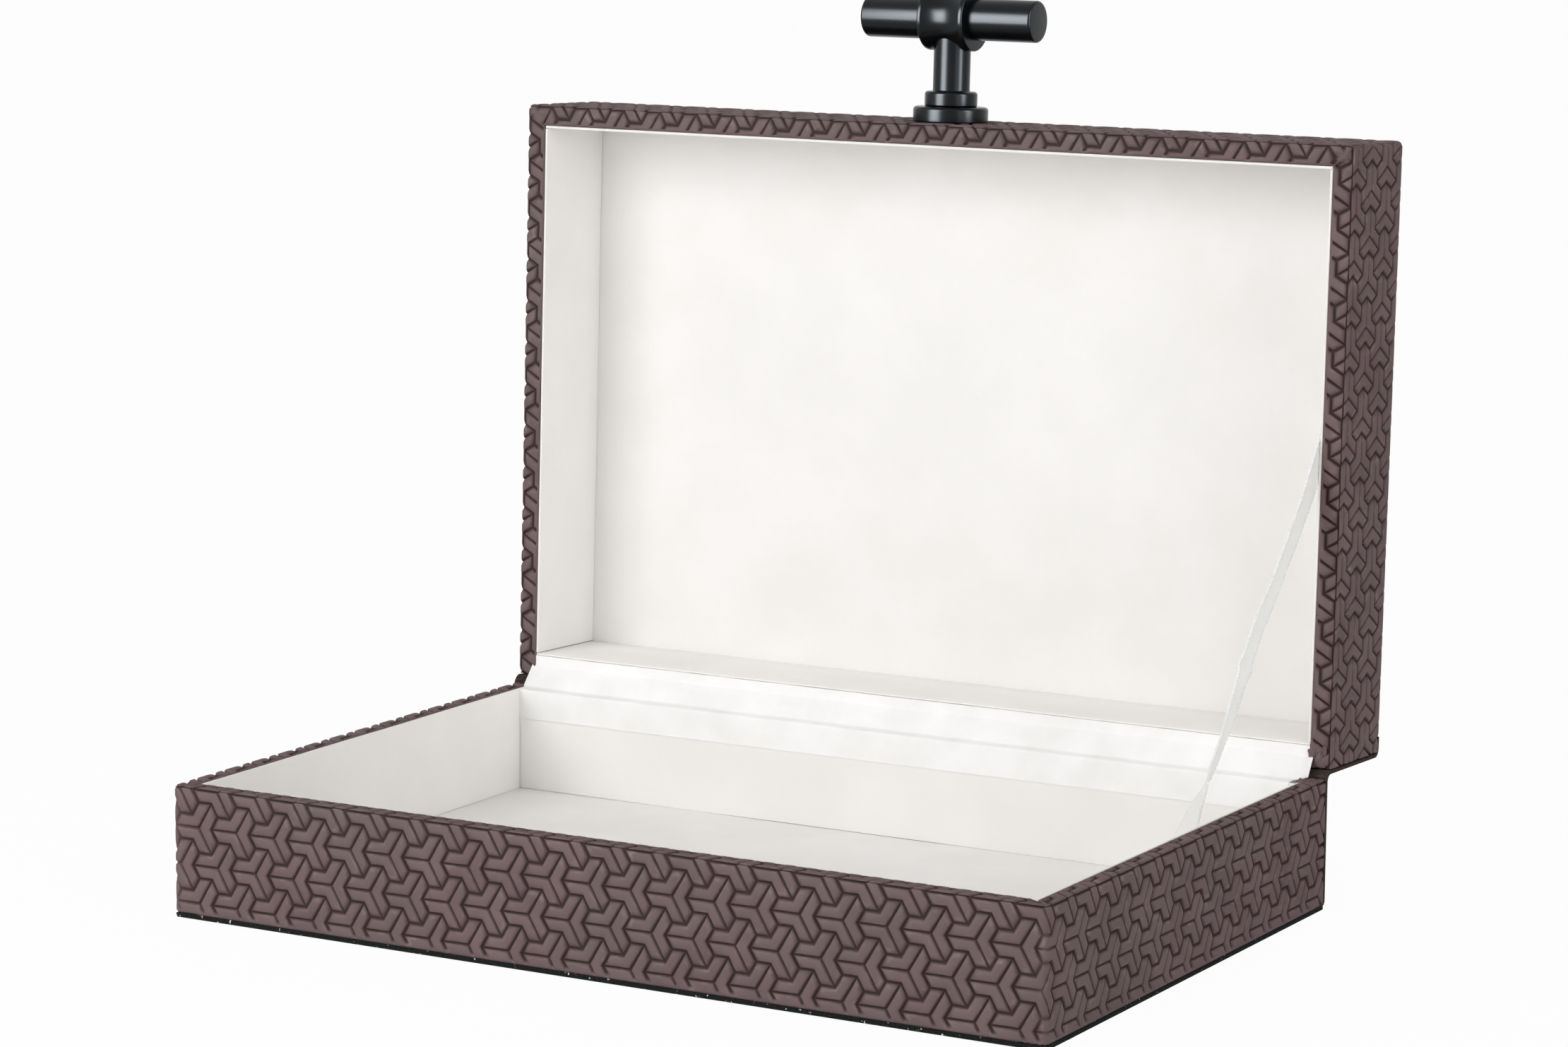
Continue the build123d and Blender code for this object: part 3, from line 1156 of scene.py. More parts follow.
        # The square front corners are drawn in to their rounding
        dx = np.abs(xy[:, 0]) - (form.half - form.corner)
        dy = form.front + form.corner - xy[:, 1]
        inside = (dx > 0) & (dy > 0)
        pull = np.where(inside, np.maximum(dx, dy) / np.maximum(np.hypot(dx, dy), 1e-9), 1.0)
        x = np.where(inside, np.sign(xy[:, 0]) * (form.half - form.corner + dx * pull), xy[:, 0])
        y = np.where(inside, form.front + form.corner - dy * pull, xy[:, 1])
        return np.column_stack((x, y, z + height * nz))

    def fade(self, wall: Wall, flat: np.ndarray) -> np.ndarray:
        """Let the relief die out at the lower edge, the rolled rim, the mitres and plain ends.

        Args:
            wall: The side that it covers.
            flat: Distance along the wall, across it and height of each point.

        Returns:
            Share of the relief that is left at each point.
        """
        t, z, _, _ = self.profile.at(flat[:, 1])
        share = smooth_step((z - self.form.sheet - self.plain_low) / self.fade_low)
        if self.profile.over_rim:
            share *= smooth_step((self.form.rim_width - self.fade_rim + self.fade_roll - t) / self.fade_roll)
        for end, mitred, sign in wall.sides():
            away = sign * (end - flat[:, 0])
            if mitred:
                # On the rim it stops just short of the mitre, and on the wall it is shallower at the corner
                share *= np.where(t > 0.01, smooth_step((away - t) / np.clip(t, 0.3, 0.6)), 1)
                share *= 0.7 + 0.3 * smooth_step((away - 0.5) / self.lean)
            elif self.fade_end:
                share *= smooth_step(away / self.fade_end)
        return share

    def gathers(self, wall: Wall, flat: np.ndarray) -> np.ndarray:
        """Crease the sheet where it is gathered round the corners of the rim.

        Args:
            wall: The side that it covers.
            flat: Distance along the wall, across it and height of each point.

        Returns:
            The creases' depth at each point.
        """
        t, _, _, _ = self.profile.at(flat[:, 1])
        deep = np.zeros(len(flat))
        for end, mitred, sign in wall.sides():
            if not mitred:
                continue
            away = sign * (end - flat[:, 0])
            for place, slant, width, depth in self.creases:
                off = away - place - slant * t
                crease = depth * np.exp(-((off / width) ** 2))
                # It dies out towards the mitre and towards the rim's outer edge
                deep += crease * smooth_step((away - t) / 0.5) * smooth_step(t / 0.8)
        return deep

    def build(self, walls: Sequence[Wall]) -> Shell:
        """Lay every panel, sew them together and give the sheet its thickness.

        Args:
            walls: The sides that it covers.

        Returns:
            The closed sheet, its first material on the face and its second on the back and cut edges.
        """
        work = bmesh.new()
        under = work.verts.layers.float_vector.new("under")
        depth = work.verts.layers.float.new("depth")
        for wall in walls:
            flat, faces = self.panel(wall)
            crease = self.edge_crease(wall, flat)
            height = flat[:, 2] * self.fade(wall, flat) - self.gathers(wall, flat) - crease
            height = np.maximum(height, -self.deepest * self.thickness)
            outer = self.lay(wall, flat, height)
            inner = self.lay(wall, flat, np.full(len(flat), -self.thickness))
            verts = []
            for p, q, h, c in zip(outer, inner, height, crease):
                vert = work.verts.new(p)
                vert[under] = Vector(q)
                # Painted shade: the deeper a point lies, and the deeper the rim's crease there, the darker it
                # is painted
                vert[depth] = -h / self.emboss.depth + self.crease_painted_shade * c
                verts.append(vert)
            for face in faces:
                work.faces.new([verts[i] for i in face])
        self.sew(work)
        bmesh.ops.remove_doubles(work, verts=work.verts, dist=self.seam)
        work.verts.index_update()
        outer = np.array([vert.co[:] for vert in work.verts])
        inner = np.array([vert[under][:] for vert in work.verts])
        deep = np.array([vert[depth] for vert in work.verts])
        count = len(outer)
        faces = [tuple(vert.index for vert in face.verts) for face in work.faces]
        sides = []
        for edge in work.edges:
            if len(edge.link_faces) == 1:
                loop = edge.link_loops[0]
                a, b = loop.vert.index, loop.link_loop_next.vert.index
                sides.append((b, a, a + count, b + count))
        work.free()
        backs = [tuple(i + count for i in reversed(face)) for face in faces]
        kinds = [0] * len(faces) + [1] * (len(sides) + len(backs))
        groove = np.concatenate((deep, np.zeros(count)))
        return Shell(np.vstack((outer, inner)), faces + sides + backs, kinds, groove, sharp=75)

    def sew(self, work: bmesh.types.BMesh) -> None:
        """Give both sides of each rim mitre the same points, so that they can be joined.

        Args:
            work: The laid panels, whose edges along the mitres are split.
        """
        form = self.form

        def on_mitre(spot: Vector) -> bool:
            """Whether a point is as far from a side as from the front."""
            away = spot.y - form.front
            return abs(form.half - abs(spot.x) - away) < 0.02 and away < self.mitre_reach

        rims = [e for e in work.edges if len(e.link_faces) == 1 and all(on_mitre(v.co) for v in e.verts)]
        # One spot for the points of both sides that are a hundredth of a millimetre apart
        spots: dict[tuple[float, int], Vector] = {}
        for edge in rims:
            for vert in edge.verts:
                spots[(round(vert.co.x, 2), round(vert.co.z * 50))] = vert.co.copy()
        for edge in rims:
            a, b = edge.verts
            way = b.co - a.co
            size = way.length
            found = []
            for spot in spots.values():
                share = (spot - a.co).dot(way) / (size * size)
                clear = self.seam / size
                if clear < share < 1 - clear and (a.co + way * share - spot).length < 0.01:
                    found.append(share)
            # Each split leaves the rest of the edge, so the next share is taken of what is left
            start, done, piece = a, 0.0, edge
            for share in sorted(found):
                _, vert = bmesh.utils.edge_split(piece, start, (share - done) / (1 - done))
                done, start = share, vert
                piece = next(e for e in vert.link_edges if b in e.verts)


# The box's sub-assemblies


def slab(low: Triple, high: Triple, radius: float, cell: float, wave: float, seed: int) -> Shell:
    """Make a card with rounded edges that is not quite flat.

    Args:
        low: Its lowest corner in millimetres.
        high: Its highest corner.
        radius: Rounding of its edges.
        cell: Size of the cells that let it bend.
        wave: How far it strays from flat.
        seed: Picks the waves.

    Returns:
        The card as a closed shell.
    """
    work = bmesh.new()
    size = Vector(high) - Vector(low)
    middle = (Vector(high) + Vector(low)) / 2
    bmesh.ops.create_cube(work, size=1.0, matrix=Matrix.Translation(middle) @ Matrix.Diagonal((*size, 1)))
    thin = min(range(3), key=lambda i: size[i])
    for axis in range(3):
        if axis == thin:
            continue
        count = max(2, round(size[axis] / cell))
        normal = [0.0, 0.0, 0.0]
        normal[axis] = 1.0
        for k in range(1, count):
            point = list(middle)
            point[axis] = low[axis] + size[axis] * k / count
            bmesh.ops.bisect_plane(
                work, geom=[*work.verts, *work.edges, *work.faces], plane_co=point, plane_no=normal
            )
    sharp = [edge for edge in work.edges if edge.calc_face_angle(0) > 1]
    bmesh.ops.bevel(work, geom=sharp, offset=radius, segments=3, profile=0.5, affect="EDGES")
    for vert in work.verts:
        # Waves about 38 mm long, from three places of the same noise
        spot = vert.co / 38 + Vector((seed * 7.1, seed * 3.3, 0))
        stray = [noise.noise(spot + Vector(far)) for far in ((0, 0, 0), (9, 0, 0), (0, 9, 0))]
        vert.co += Vector(stray) * wave
    work.verts.index_update()
    points = np.array([vert.co[:] for vert in work.verts])
    faces = [tuple(vert.index for vert in face.verts) for face in work.faces]
    work.free()
    return Shell(points, faces, sharp=50)


def edge_kinds(card: Shell, near: Callable[[np.ndarray], bool]) -> list[int]:
    """Give the slanting edge faces that lie near a joint the second material.

    Args:
        card: A card from slab.
        near: Tells whether a face's centre is at the joint.

    Returns:
        Each face's material number.
    """
    kinds = []
    for face in card.faces:
        corners = card.points[list(face)]
        across = np.cross(corners[2] - corners[0], corners[-1] - corners[1])
        slant = np.abs(across).max() < 0.97 * np.linalg.norm(across)
        kinds.append(int(slant and near(corners.mean(axis=0))))
    return kinds


@dataclass
class TrayDress:
    """Cover, linings and boards of one half."""

    name: str
    form: TrayForm
    # Takes the half, rim up, to where it is at rest, or None for the base
    place: Optional[Callable[[np.ndarray], np.ndarray]]
    # Where a figure's centre lies on the band and on the spine sheet, and whether the figures are turned
    phase: Pair
    back_phase: Pair
    turned: bool
    flap: float = 4.0
    spine_flap: float = 6.0
    spine_drop: float = 1.0
    spine_bend: float = 1.4
    spine_slack: float = 0.05
    spine_fade: float = 4.0
    band_thickness: float = 0.78
    card_radius: float = 0.28
    card_cell: float = 7.0
    card_wave: float = 0.1
    card_gap: float = 0.1
    # The corner fold's reach over the inner edge, its two creases' places and slants, and their depth
    fold_reach: float = 0.4
    fold_creases: tuple[Pair, ...] = ((2.2, 0.5), (4.6, -0.35))
    fold_depth: float = 0.55

    @property
    def is_base(self) -> bool:
        """Whether this is the base, not the lid."""
        return self.name == "base"

    def walls(self) -> list[Wall]:
        """List the sides that the band covers.

        Returns:
            Left, front and right side, in the order the band goes round them.
        """
        half, front, back = self.form.half, self.form.front, self.form.back_sheet
        return [
            Wall((-half, 0.0), (0.0, -1.0), (1.0, 0.0), (-back, -front), (False, True), front - half),
            Wall((0.0, front), (1.0, 0.0), (0.0, 1.0), (-half, half), (True, True), 0.0),
            Wall((half, 0.0), (0.0, 1.0), (-1.0, 0.0), (front, back), (True, False), half - front),
        ]

    def dress(self, part: str, shell: Shell, stocks: Sequence[Stock], stands_for: Iterable[str] = ()) -> None:
        """Make a piece of this half on its body. Its name and its nodes' are given without the half's."""
        nodes = [f"{self.name}_{node}" for node in stands_for]
        make_piece(f"{self.name}_{part}", shell, stocks, self.name, nodes, self.place)

    def cover(self, bar: bpy.types.Object) -> None:
        """Lay the embossed band round the front and the sides.

        Args:
            bar: The figures' bent bar.
        """
        f = self.form
        profile = Profile.over(f, f.edge, self.flap, None)
        sheet = CoverSheet(Emboss(), f, profile, self.band_thickness, self.phase, self.turned, bar)
        self.dress("embossed_band", sheet.build(self.walls()), (Stock.COVER, Stock.BACKING), ["cover_band"])

    def spine(self, bar: bpy.types.Object) -> None:
        """Lay the spine sheet over the back wall and under the floor.

        Args:
            bar: The figures' bent bar.
        """
        f = self.form
        profile = Profile.over(f, self.spine_bend, self.spine_flap, f.height - self.spine_drop)
        thickness = f.spine - self.spine_slack
        sheet = CoverSheet(
            Emboss(), f, profile, thickness, self.back_phase, self.turned, bar, fade_end=self.spine_fade
        )
        end = f.half - SPINE_INSET
        wall = Wall((0.0, f.back), (-1.0, 0.0), (0.0, -1.0), (-end, end), (False, False), 0.0)
        self.dress("spine_leather", sheet.build([wall]), (Stock.SPINE, Stock.BACKING), ["back_cover"])

    def linings(self) -> None:
        """Set the paper-covered cards on the floor and the walls."""
        f = self.form
        x, y0, y1 = f.in_x, f.in_front, f.in_back
        top = f.height - f.card_drop
        back_top = f.height - f.wrap if self.is_base else top
        gap = self.card_gap
        # The lid is turned over, so its left card is on its right here
        floor, left, right = ("floor", "left", "right") if self.is_base else ("top", "right", "left")
        cards = {
            floor: ((-x + gap, y0 + gap, f.floor_top), (x - gap, y1 - gap, f.card_top)),
            "front": ((-x + gap, y0, f.card_top), (x - gap, y0 + f.card, top)),
            "back": ((-x + gap, y1 - f.card, f.card_top), (x - gap, y1, back_top)),
            left: ((-x, y0 + f.card + gap, f.card_top), (-x + f.card, y1 - f.card - gap, top)),
            right: ((x - f.card, y0 + f.card + gap, f.card_top), (x, y1 - f.card - gap, top)),
        }
        for number, (side, (low, high)) in enumerate(cards.items()):
            card = slab(low, high, self.card_radius, self.card_cell, self.card_wave, number + len(self.name))
            # Paste shows round the floor's card, and where the strip is glued over the lid's back card
            if side == floor:
                card.kinds = edge_kinds(card, lambda spot: spot[2] > f.card_top - 0.2)
            elif side == "back" and not self.is_base:
                card.kinds = edge_kinds(card, lambda spot: spot[2] > top - 0.45 and spot[1] > y1 - 0.4)
            self.dress(f"{side}_paper_card", card, (Stock.PAPER, Stock.GLUED), [f"{side}_lining"])

    def corner_fold(self) -> None:
        """Tuck the band's end in over the back board's rim, where the strip stops short of it."""
        f = self.form
        sign = 1 if self.is_base else -1
        inner, outer = f.in_x - self.fold_reach, f.half - 1.4
        # It fills the corner between the rim's roll, the spine sheet and the side's band
        low = (min(sign * inner, sign * outer), f.in_back - 0.6, f.height - f.wrap - 0.25)
        high = (max(sign * inner, sign * outer), f.back_sheet - 0.1, f.height + 0.1)
        fold = slab(low, high, radius=0.4, cell=0.7, wave=0.0, seed=3)
        middle = (low[1] + high[1]) / 2
        deep = []
        for point in fold.points:
            along = sign * point[0] - inner
            spot = Vector(point)
            # The creases run across the tucked end, and it narrows towards its tip
            crease = sum(
                math.exp(-(((along - at + slant * (point[1] - middle)) / 0.4) ** 2))
                for at, slant in self.fold_creases
            )
            point[1] = middle + (point[1] - middle) * (0.6 + 0.4 * min(1.0, max(0.0, along / 2.5)))
            lump = [noise.noise(spot / 1.9 + Vector((far, 0, 0))) for far in (0, 5)]
            point[:2] += np.array(lump) * 0.6
            if point[2] > f.height - 0.4:
                point[2] += 0.25 * noise.noise(spot / 1.3) - self.fold_depth * crease
            # The creases are painted darker: painted shade
            deep.append(0.9 * crease)
        fold.groove = np.array(deep)
        self.dress("right_corner_fold", fold, (Stock.COVER,))

    def boards(self) -> None:
        """Dress the boards that the cover hides."""
        names = [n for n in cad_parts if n.startswith(self.name) and n.endswith("_board")]
        dress_nodes(names, Stock.BOARD)


@dataclass
class BottomAndTop:
    """Felt sole under the base, and the embossed sheet on the lid's crown."""

    sole_inset: float = 0.35
    sole_ragged: float = 0.22
    top_inset: float = 1.5
    # How deep and how wide the top sheet's edge is pared, and its rows of points
    pared_depth: float = 0.35
    pared_width: float = 0.9
    pared_rows: Triple = (0.3, 0.7, 1.2)
    # Plain stretch along that edge, and the width over which the relief grows to its full depth
    plain_edge: float = 0.5
    fade_edge: float = 1.6

    def sole(self) -> None:
        """Cut the felt sole, with a slightly ragged edge."""
        f, i = BASE, self.sole_inset
        low, high = (-f.half + i, f.front + i, 0.05), (f.half - i, f.back - i, f.sheet)
        felt = slab(low, high, radius=0.45, cell=4.0, wave=0.0, seed=1)
        for point in felt.points:
            if 0.2 < point[2] < f.sheet - 0.1:
                ragged = noise.noise(Vector(point) * 0.9) * self.sole_ragged
                away = min(point[1] - f.front, f.back - point[1])
                point[0] += ragged * (abs(point[0]) > f.half - i - 0.5) * np.sign(point[0])
                point[1] += ragged * (away < i + 0.5) * np.sign(point[1])
        make_piece("base_felt_sole", felt, (Stock.FELT,), "base", ["base_sole"])

    def crown(self, bar: bpy.types.Object) -> None:
        """Lay the top sheet on the crown, its edges pared down.

        Args:
            bar: The figures' bent bar.
        """
        f, i, emboss = LID, self.top_inset, Emboss()
        x, y0, y1 = f.half - i, f.front + i, f.back - i
        sheet = emboss.patch((-x, x), (y0, y1), phase=(0.0, 0.0), turned=True, bar=bar)
        for point, normal in (((x, 0), (1, 0)), ((-x, 0), (-1, 0)), ((0, y0), (0, -1)), ((0, y1), (0, 1))):
            cut(sheet, point, normal, trim=True)
            for step in self.pared_rows:
                cut(sheet, (point[0] - normal[0] * step, point[1] - normal[1] * step), normal)
        sheet.verts.index_update()
        flat = np.array([vert.co[:] for vert in sheet.verts])
        faces = [tuple(vert.index for vert in face.verts) for face in sheet.faces]
        border = [
            (edge.link_loops[0].vert.index, edge.link_loops[0].link_loop_next.vert.index)
            for edge in sheet.edges
            if len(edge.link_faces) == 1
        ]
        sheet.free()
        away = np.minimum(x - np.abs(flat[:, 0]), np.minimum(flat[:, 1] - y0, y1 - flat[:, 1]))
        fade = smooth_step((away - self.plain_edge) / self.fade_edge)
        pared = self.pared_depth * np.clip(1 - away / self.pared_width, 0, 1) ** 2
        # Rim up, the crown faces down, so the sheet is turned over by swapping the faces' order
        outer = np.column_stack((flat[:, 0], flat[:, 1], pared - flat[:, 2] * fade))
        inner = np.column_stack((flat[:, 0], flat[:, 1], np.full(len(flat), f.sheet)))
        count = len(flat)
        skins = [tuple(reversed(face)) for face in faces]
        backs = [tuple(k + count for k in face) for face in faces]
        sides = [(a, b, b + count, a + count) for a, b in border]
        # Depth in the grooves, which the leatherette turns into painted shade
        deep = np.concatenate((-flat[:, 2] * fade / emboss.depth, np.zeros(count)))
        kinds = [0] * (len(skins) + len(sides)) + [1] * len(backs)
        shell = Shell(np.vstack((outer, inner)), skins + sides + backs, kinds, deep, sharp=75)
        stocks = (Stock.COVER, Stock.BACKING)
        make_piece("lid_crown_leather", shell, stocks, "lid", ["lid_top_cover"], HINGE.lid)


@dataclass
class HingeSheets:
    """The spine's free stretch behind the hinge and the white strip inside it."""

    # Thickness of the spine's free stretch, and how far below each rim it starts
    spine: float = 1.1
    start: float = 1.0
    # Handles of its curve at the base and at the lid
    base_handle: float = 0.9
    lid_handle: float = 1.4
    # Thickness of the strip, how far it goes down the base's card, and its two ends in X
    strip: float = 0.3
    reach: float = 9.0
    strip_span: Pair = (-134.9, 133.3)
    strip_wave: float = 0.12
    strip_curl: float = 2.2
    strip_slant: float = 2.2
    # Where the gap between the rims lies along the strip and how wide it is, as shares of the strip's way
    gap_share: float = 0.62
    gap_width: float = 0.05
    # Length of the strip's right end that frays out over that gap
    fray_length: float = 4.0
    columns: int = 161

    def bent(
        self, line: Sequence[Pair], thickness: float, span: Pair, wave: float, curl: float = 0.0
    ) -> Shell:
        """Draw a line in the side view out across the width, as a sheet.

        Args:
            line: Points in Y and Z along the sheet's outer face, the sheet lying to their left.
            thickness: The sheet's thickness.
            span: Its two ends in X.
            wave: How far it strays across the width.
            curl: How far its right end frays out over the gap.

        Returns:
            The closed sheet, its first material on the outer face and its second on the rest.
        """
        path = np.array(line)
        way = np.gradient(path, axis=0)
        way /= np.linalg.norm(way, axis=1)[:, None]
        left = np.column_stack((-way[:, 1], way[:, 0]))
        ring = np.vstack((path, (path + left * thickness)[::-1]))
        count = len(path)
        share = np.concatenate((np.arange(count), np.arange(count)[::-1])) / (count - 1)
        free = np.sin(math.pi * share) ** 2
        frayed = curl * np.exp(-(((share - self.gap_share) / self.gap_width) ** 2))
        points = []
        for x in np.linspace(*span, self.columns):
            # Ripples 23 and 9 mm long, in the free stretch alone
            ripple = noise.noise(Vector((x / 23, 1.7, 0))) + 0.5 * noise.noise(Vector((x / 9, 5.1, 0)))
            shift = np.outer(free * ripple * wave, (0.6, -0.8))
            # The right end frays out over the gap, and is cut off at a slant on the base's side of it
            near = max(0.0, 1 - (span[1] - x) / self.fray_length)
            shift += np.outer(frayed * near**2, (-0.45, 0.3))
            back = self.strip_slant * (1 - smooth_step((share - 0.35) / 0.2)) * bool(curl)
            points.append(np.column_stack((x + (frayed - back) * near, ring + shift)))
        grid = np.vstack(points)
        size = len(ring)
        faces = []
        for i in range(self.columns - 1):
            for j in range(size):
                k = (j + 1) % size
                faces.append((i * size + j, i * size + k, (i + 1) * size + k, (i + 1) * size + j))
        kinds = [int(j >= count - 1) for _ in range(self.columns - 1) for j in range(size)]
        ends = []
        for base, flip in ((0, True), ((self.columns - 1) * size, False)):
            for j in range(count - 1):
                quad = (base + j, base + j + 1, base + size - 2 - j, base + size - 1 - j)
                ends.append(tuple(reversed(quad)) if flip else quad)
        return Shell(grid, faces + ends, kinds + [1] * len(ends), sharp=50)

    def flex(self) -> None:
        """Bend the spine's free stretch from the base's back to the lid's back."""
        low = BASE.height - self.start
        high = HINGE.lid_point(LID.back, self.start)
        a, b = np.array((BASE.back, low)), np.array((BASE.back, low + self.base_handle))
        d, c = np.array(high), np.array((high[0] - self.lid_handle, high[1]))
        line = [
            tuple((1 - t) ** 3 * a + 3 * (1 - t) ** 2 * t * b + 3 * (1 - t) * t * t * c + t**3 * d)
            for t in np.linspace(0, 1, 17)
        ]
        end = BASE.half - SPINE_INSET
        shell = self.bent(line, self.spine, (-end, end), wave=0.0)
        shell.groove = np.zeros(len(shell.points))
        stocks = (Stock.SPINE, Stock.BACKING)
        piece = make_piece("hinge_spine_leather", shell, stocks, "", ["hinge_spine_flex"])
        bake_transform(piece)

    def cloth(self) -> None:
        """Glue the white strip down inside the base, over both rims and onto the lid's lining."""
        rim = BASE.height - BASE.wrap
        inner = BASE.in_back - BASE.card
        out_base = BASE.back_sheet - BASE.back_flap
        out_lid = LID.back_sheet - LID.back_flap
        lid_rim = [HINGE.lid_point(y, LID.wrap - 0.05) for y in (out_lid - 2.0, LID.in_back + 2, LID.in_back)]
        # Y, Z and rounding of each bend, from the base's card to the lid's
        corners = [
            (inner, rim - self.reach, 0.0),
            (inner, rim, 0.5),
            (out_base - 1.0, rim, 2.2),
            (*lid_rim[0], 1.6),
            (*lid_rim[1], 0.0),
            (*lid_rim[2], 0.0),
        ]
        line = rounded(corners, 6)
        # Both of the sheet's materials are the same cloth
        shell = self.bent(line, self.strip, self.strip_span, self.strip_wave, self.strip_curl)
        piece = make_piece("hinge_white_cloth", shell, (Stock.CLOTH, Stock.CLOTH), "", ["hinge_lining_strip"])
        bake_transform(piece)


@dataclass
class RibbonStay:
    """Satin ribbon that stops the lid, glued to the right linings, with one twist on its way."""

    width: float = 8.0
    thickness: float = 0.3
    steps: int = 260
    # How many steps the route's corners are smoothed over
    smoothing: int = 15
    # Place and turn from flat on the wall, from the base's end to the lid's
    route: tuple[tuple[float, float, float, float], ...] = (
        (133.3, 0.0, 15.0, 180.0),
        (133.2, 2.5, 19.0, 180.0),
        (132.3, 6.0, 24.0, 150.0),
        (130.3, 10.5, 29.6, 108.0),
        (129.0, 15.0, 34.5, 72.0),
        (128.9, 18.3, 37.6, 62.0),
        (128.8, 22.1, 41.4, 52.0),
        (128.8, 26.4, 45.4, 44.0),
        (128.8, 30.8, 49.2, 21.0),
        (128.8, 35.1, 52.8, 16.5),
        (128.8, 38.7, 56.5, 16.0),
        (128.9, 41.9, 60.5, 13.5),
        (129.1, 44.7, 64.5, 9.5),
        (129.3, 47.4, 68.7, 7.5),
        (129.6, 52.6, 76.9, 4.5),
        (129.8, 56.4, 82.2, 4.0),
        (130.0, 60.5, 87.7, 4.5),
        (130.5, 68.0, 95.6, 6.0),
        (131.0, 74.9, 104.0, 6.5),
        (131.5, 81.6, 112.2, 5.5),
        (132.1, 88.3, 121.3, 4.0),
        (132.4, 94.0, 129.5, 2.0),
        (132.4, 100.0, 137.0, 0.0),
        (132.4, 106.0, 144.0, 0.0),
    )
    # Place and width of the crease as shares of the length, and its turn in radians
    crease_at: float = 0.49
    crease_width: float = 0.01
    crease_turn: float = 0.14
    # Lines across the width, close together at the selvedges
    offsets: tuple[float, ...] = (-0.5, -0.44, -0.3, -0.1, 0.1, 0.3, 0.44, 0.5)
    # Rise of the edges over the middle where it is free
    cup: float = 0.25
    # Length of a loop of the selvedge, as its finish has it, and how far the loops stand out
    loop: float = SatinRibbon.loop_mm
    loop_height: float = 0.07
    # Steps at each end where the ribbon lies glued to a lining
    glued_steps: int = 45

    def centre(self) -> tuple[np.ndarray, np.ndarray]:
        """Smooth line through the route's points.

        Returns:
            Points on the line, and the turn at each in radians.
        """
        knots = np.array(self.route)
        run = np.concatenate(([0.0], np.cumsum(np.linalg.norm(np.diff(knots[:, :3], axis=0), axis=1))))
        fine = np.linspace(0, run[-1], self.steps)
        line = np.column_stack([np.interp(fine, run, knots[:, k]) for k in range(4)])
        kernel = np.hanning(self.smoothing)
        kernel /= kernel.sum()
        first, last = (np.repeat(line[[end]], self.smoothing // 2, 0) for end in (0, -1))
        padded = np.vstack((first, line, last))
        line = np.column_stack([np.convolve(padded[:, k], kernel, "valid") for k in range(4)])
        return line[:, :3], np.radians(line[:, 3])

    def build(self) -> None:
        """Sweep the ribbon along its line."""
        line, twist = self.centre()
        way = np.gradient(line, axis=0)
        way /= np.linalg.norm(way, axis=1)[:, None]
        share = np.linspace(0, 1, len(line))
        # A short crease in its middle turns it a little
        twist = twist - self.crease_turn * np.exp(-(((share - self.crease_at) / self.crease_width) ** 2))
        across = np.cross(way, (1.0, 0.0, 0.0))
        across /= np.linalg.norm(across, axis=1)[:, None]
        out = np.cross(across, way)
        side = np.cos(twist)[:, None] * across - np.sin(twist)[:, None] * out
        face = np.cross(side, way)
        run = np.concatenate(([0.0], np.cumsum(np.linalg.norm(np.diff(line, axis=0), axis=1))))
        rows = len(self.offsets)
        points, uv = [], []
        for skin in (0.5, -0.5):
            for number, offset in enumerate(self.offsets):
                edge = number in (0, rows - 1)
                bead = np.sin(run * 2 * math.pi / self.loop)
                loops = self.loop_height * bead * np.sign(offset) * edge
                # The selvedge is thicker than the weave, and beaded by its loops
                thick = self.thickness * (1.5 if number in (1, rows - 2) else 1.0)
                if edge:
                    thick = self.thickness * (2.3 + 0.9 * bead)
                curl = self.cup * (4 * offset * offset - 0.3) * np.sin(math.pi * share)
                sideways = side * (offset * self.width + loops)[:, None]
                points.append(line + sideways + face * (skin * thick + curl)[:, None])
                uv.append(np.column_stack((np.full(len(run), offset + 0.5), run)))
        n = len(line)
        faces = [tuple(reversed(f)) for f in grid_faces(rows, n)]
        count = rows * n
        under = [tuple(i + count for i in reversed(f)) for f in faces]
        border = (
            [(i, i + 1) for i in range(n - 1)]
            + [(r * n + n - 1, (r + 1) * n + n - 1) for r in range(rows - 1)]
            + [((rows - 1) * n + i + 1, (rows - 1) * n + i) for i in range(n - 1)]
            + [((r + 1) * n, r * n) for r in range(rows - 1)]
        )
        sides = [(a, b, b + count, a + count) for a, b in border]
        shell = Shell(np.vstack(points), faces + under + sides, uv=np.vstack(uv), sharp=50)
        piece = make_piece("ribbon_satin_stay", shell, (Stock.RIBBON,), "", ["ribbon_stay"])
        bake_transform(piece)


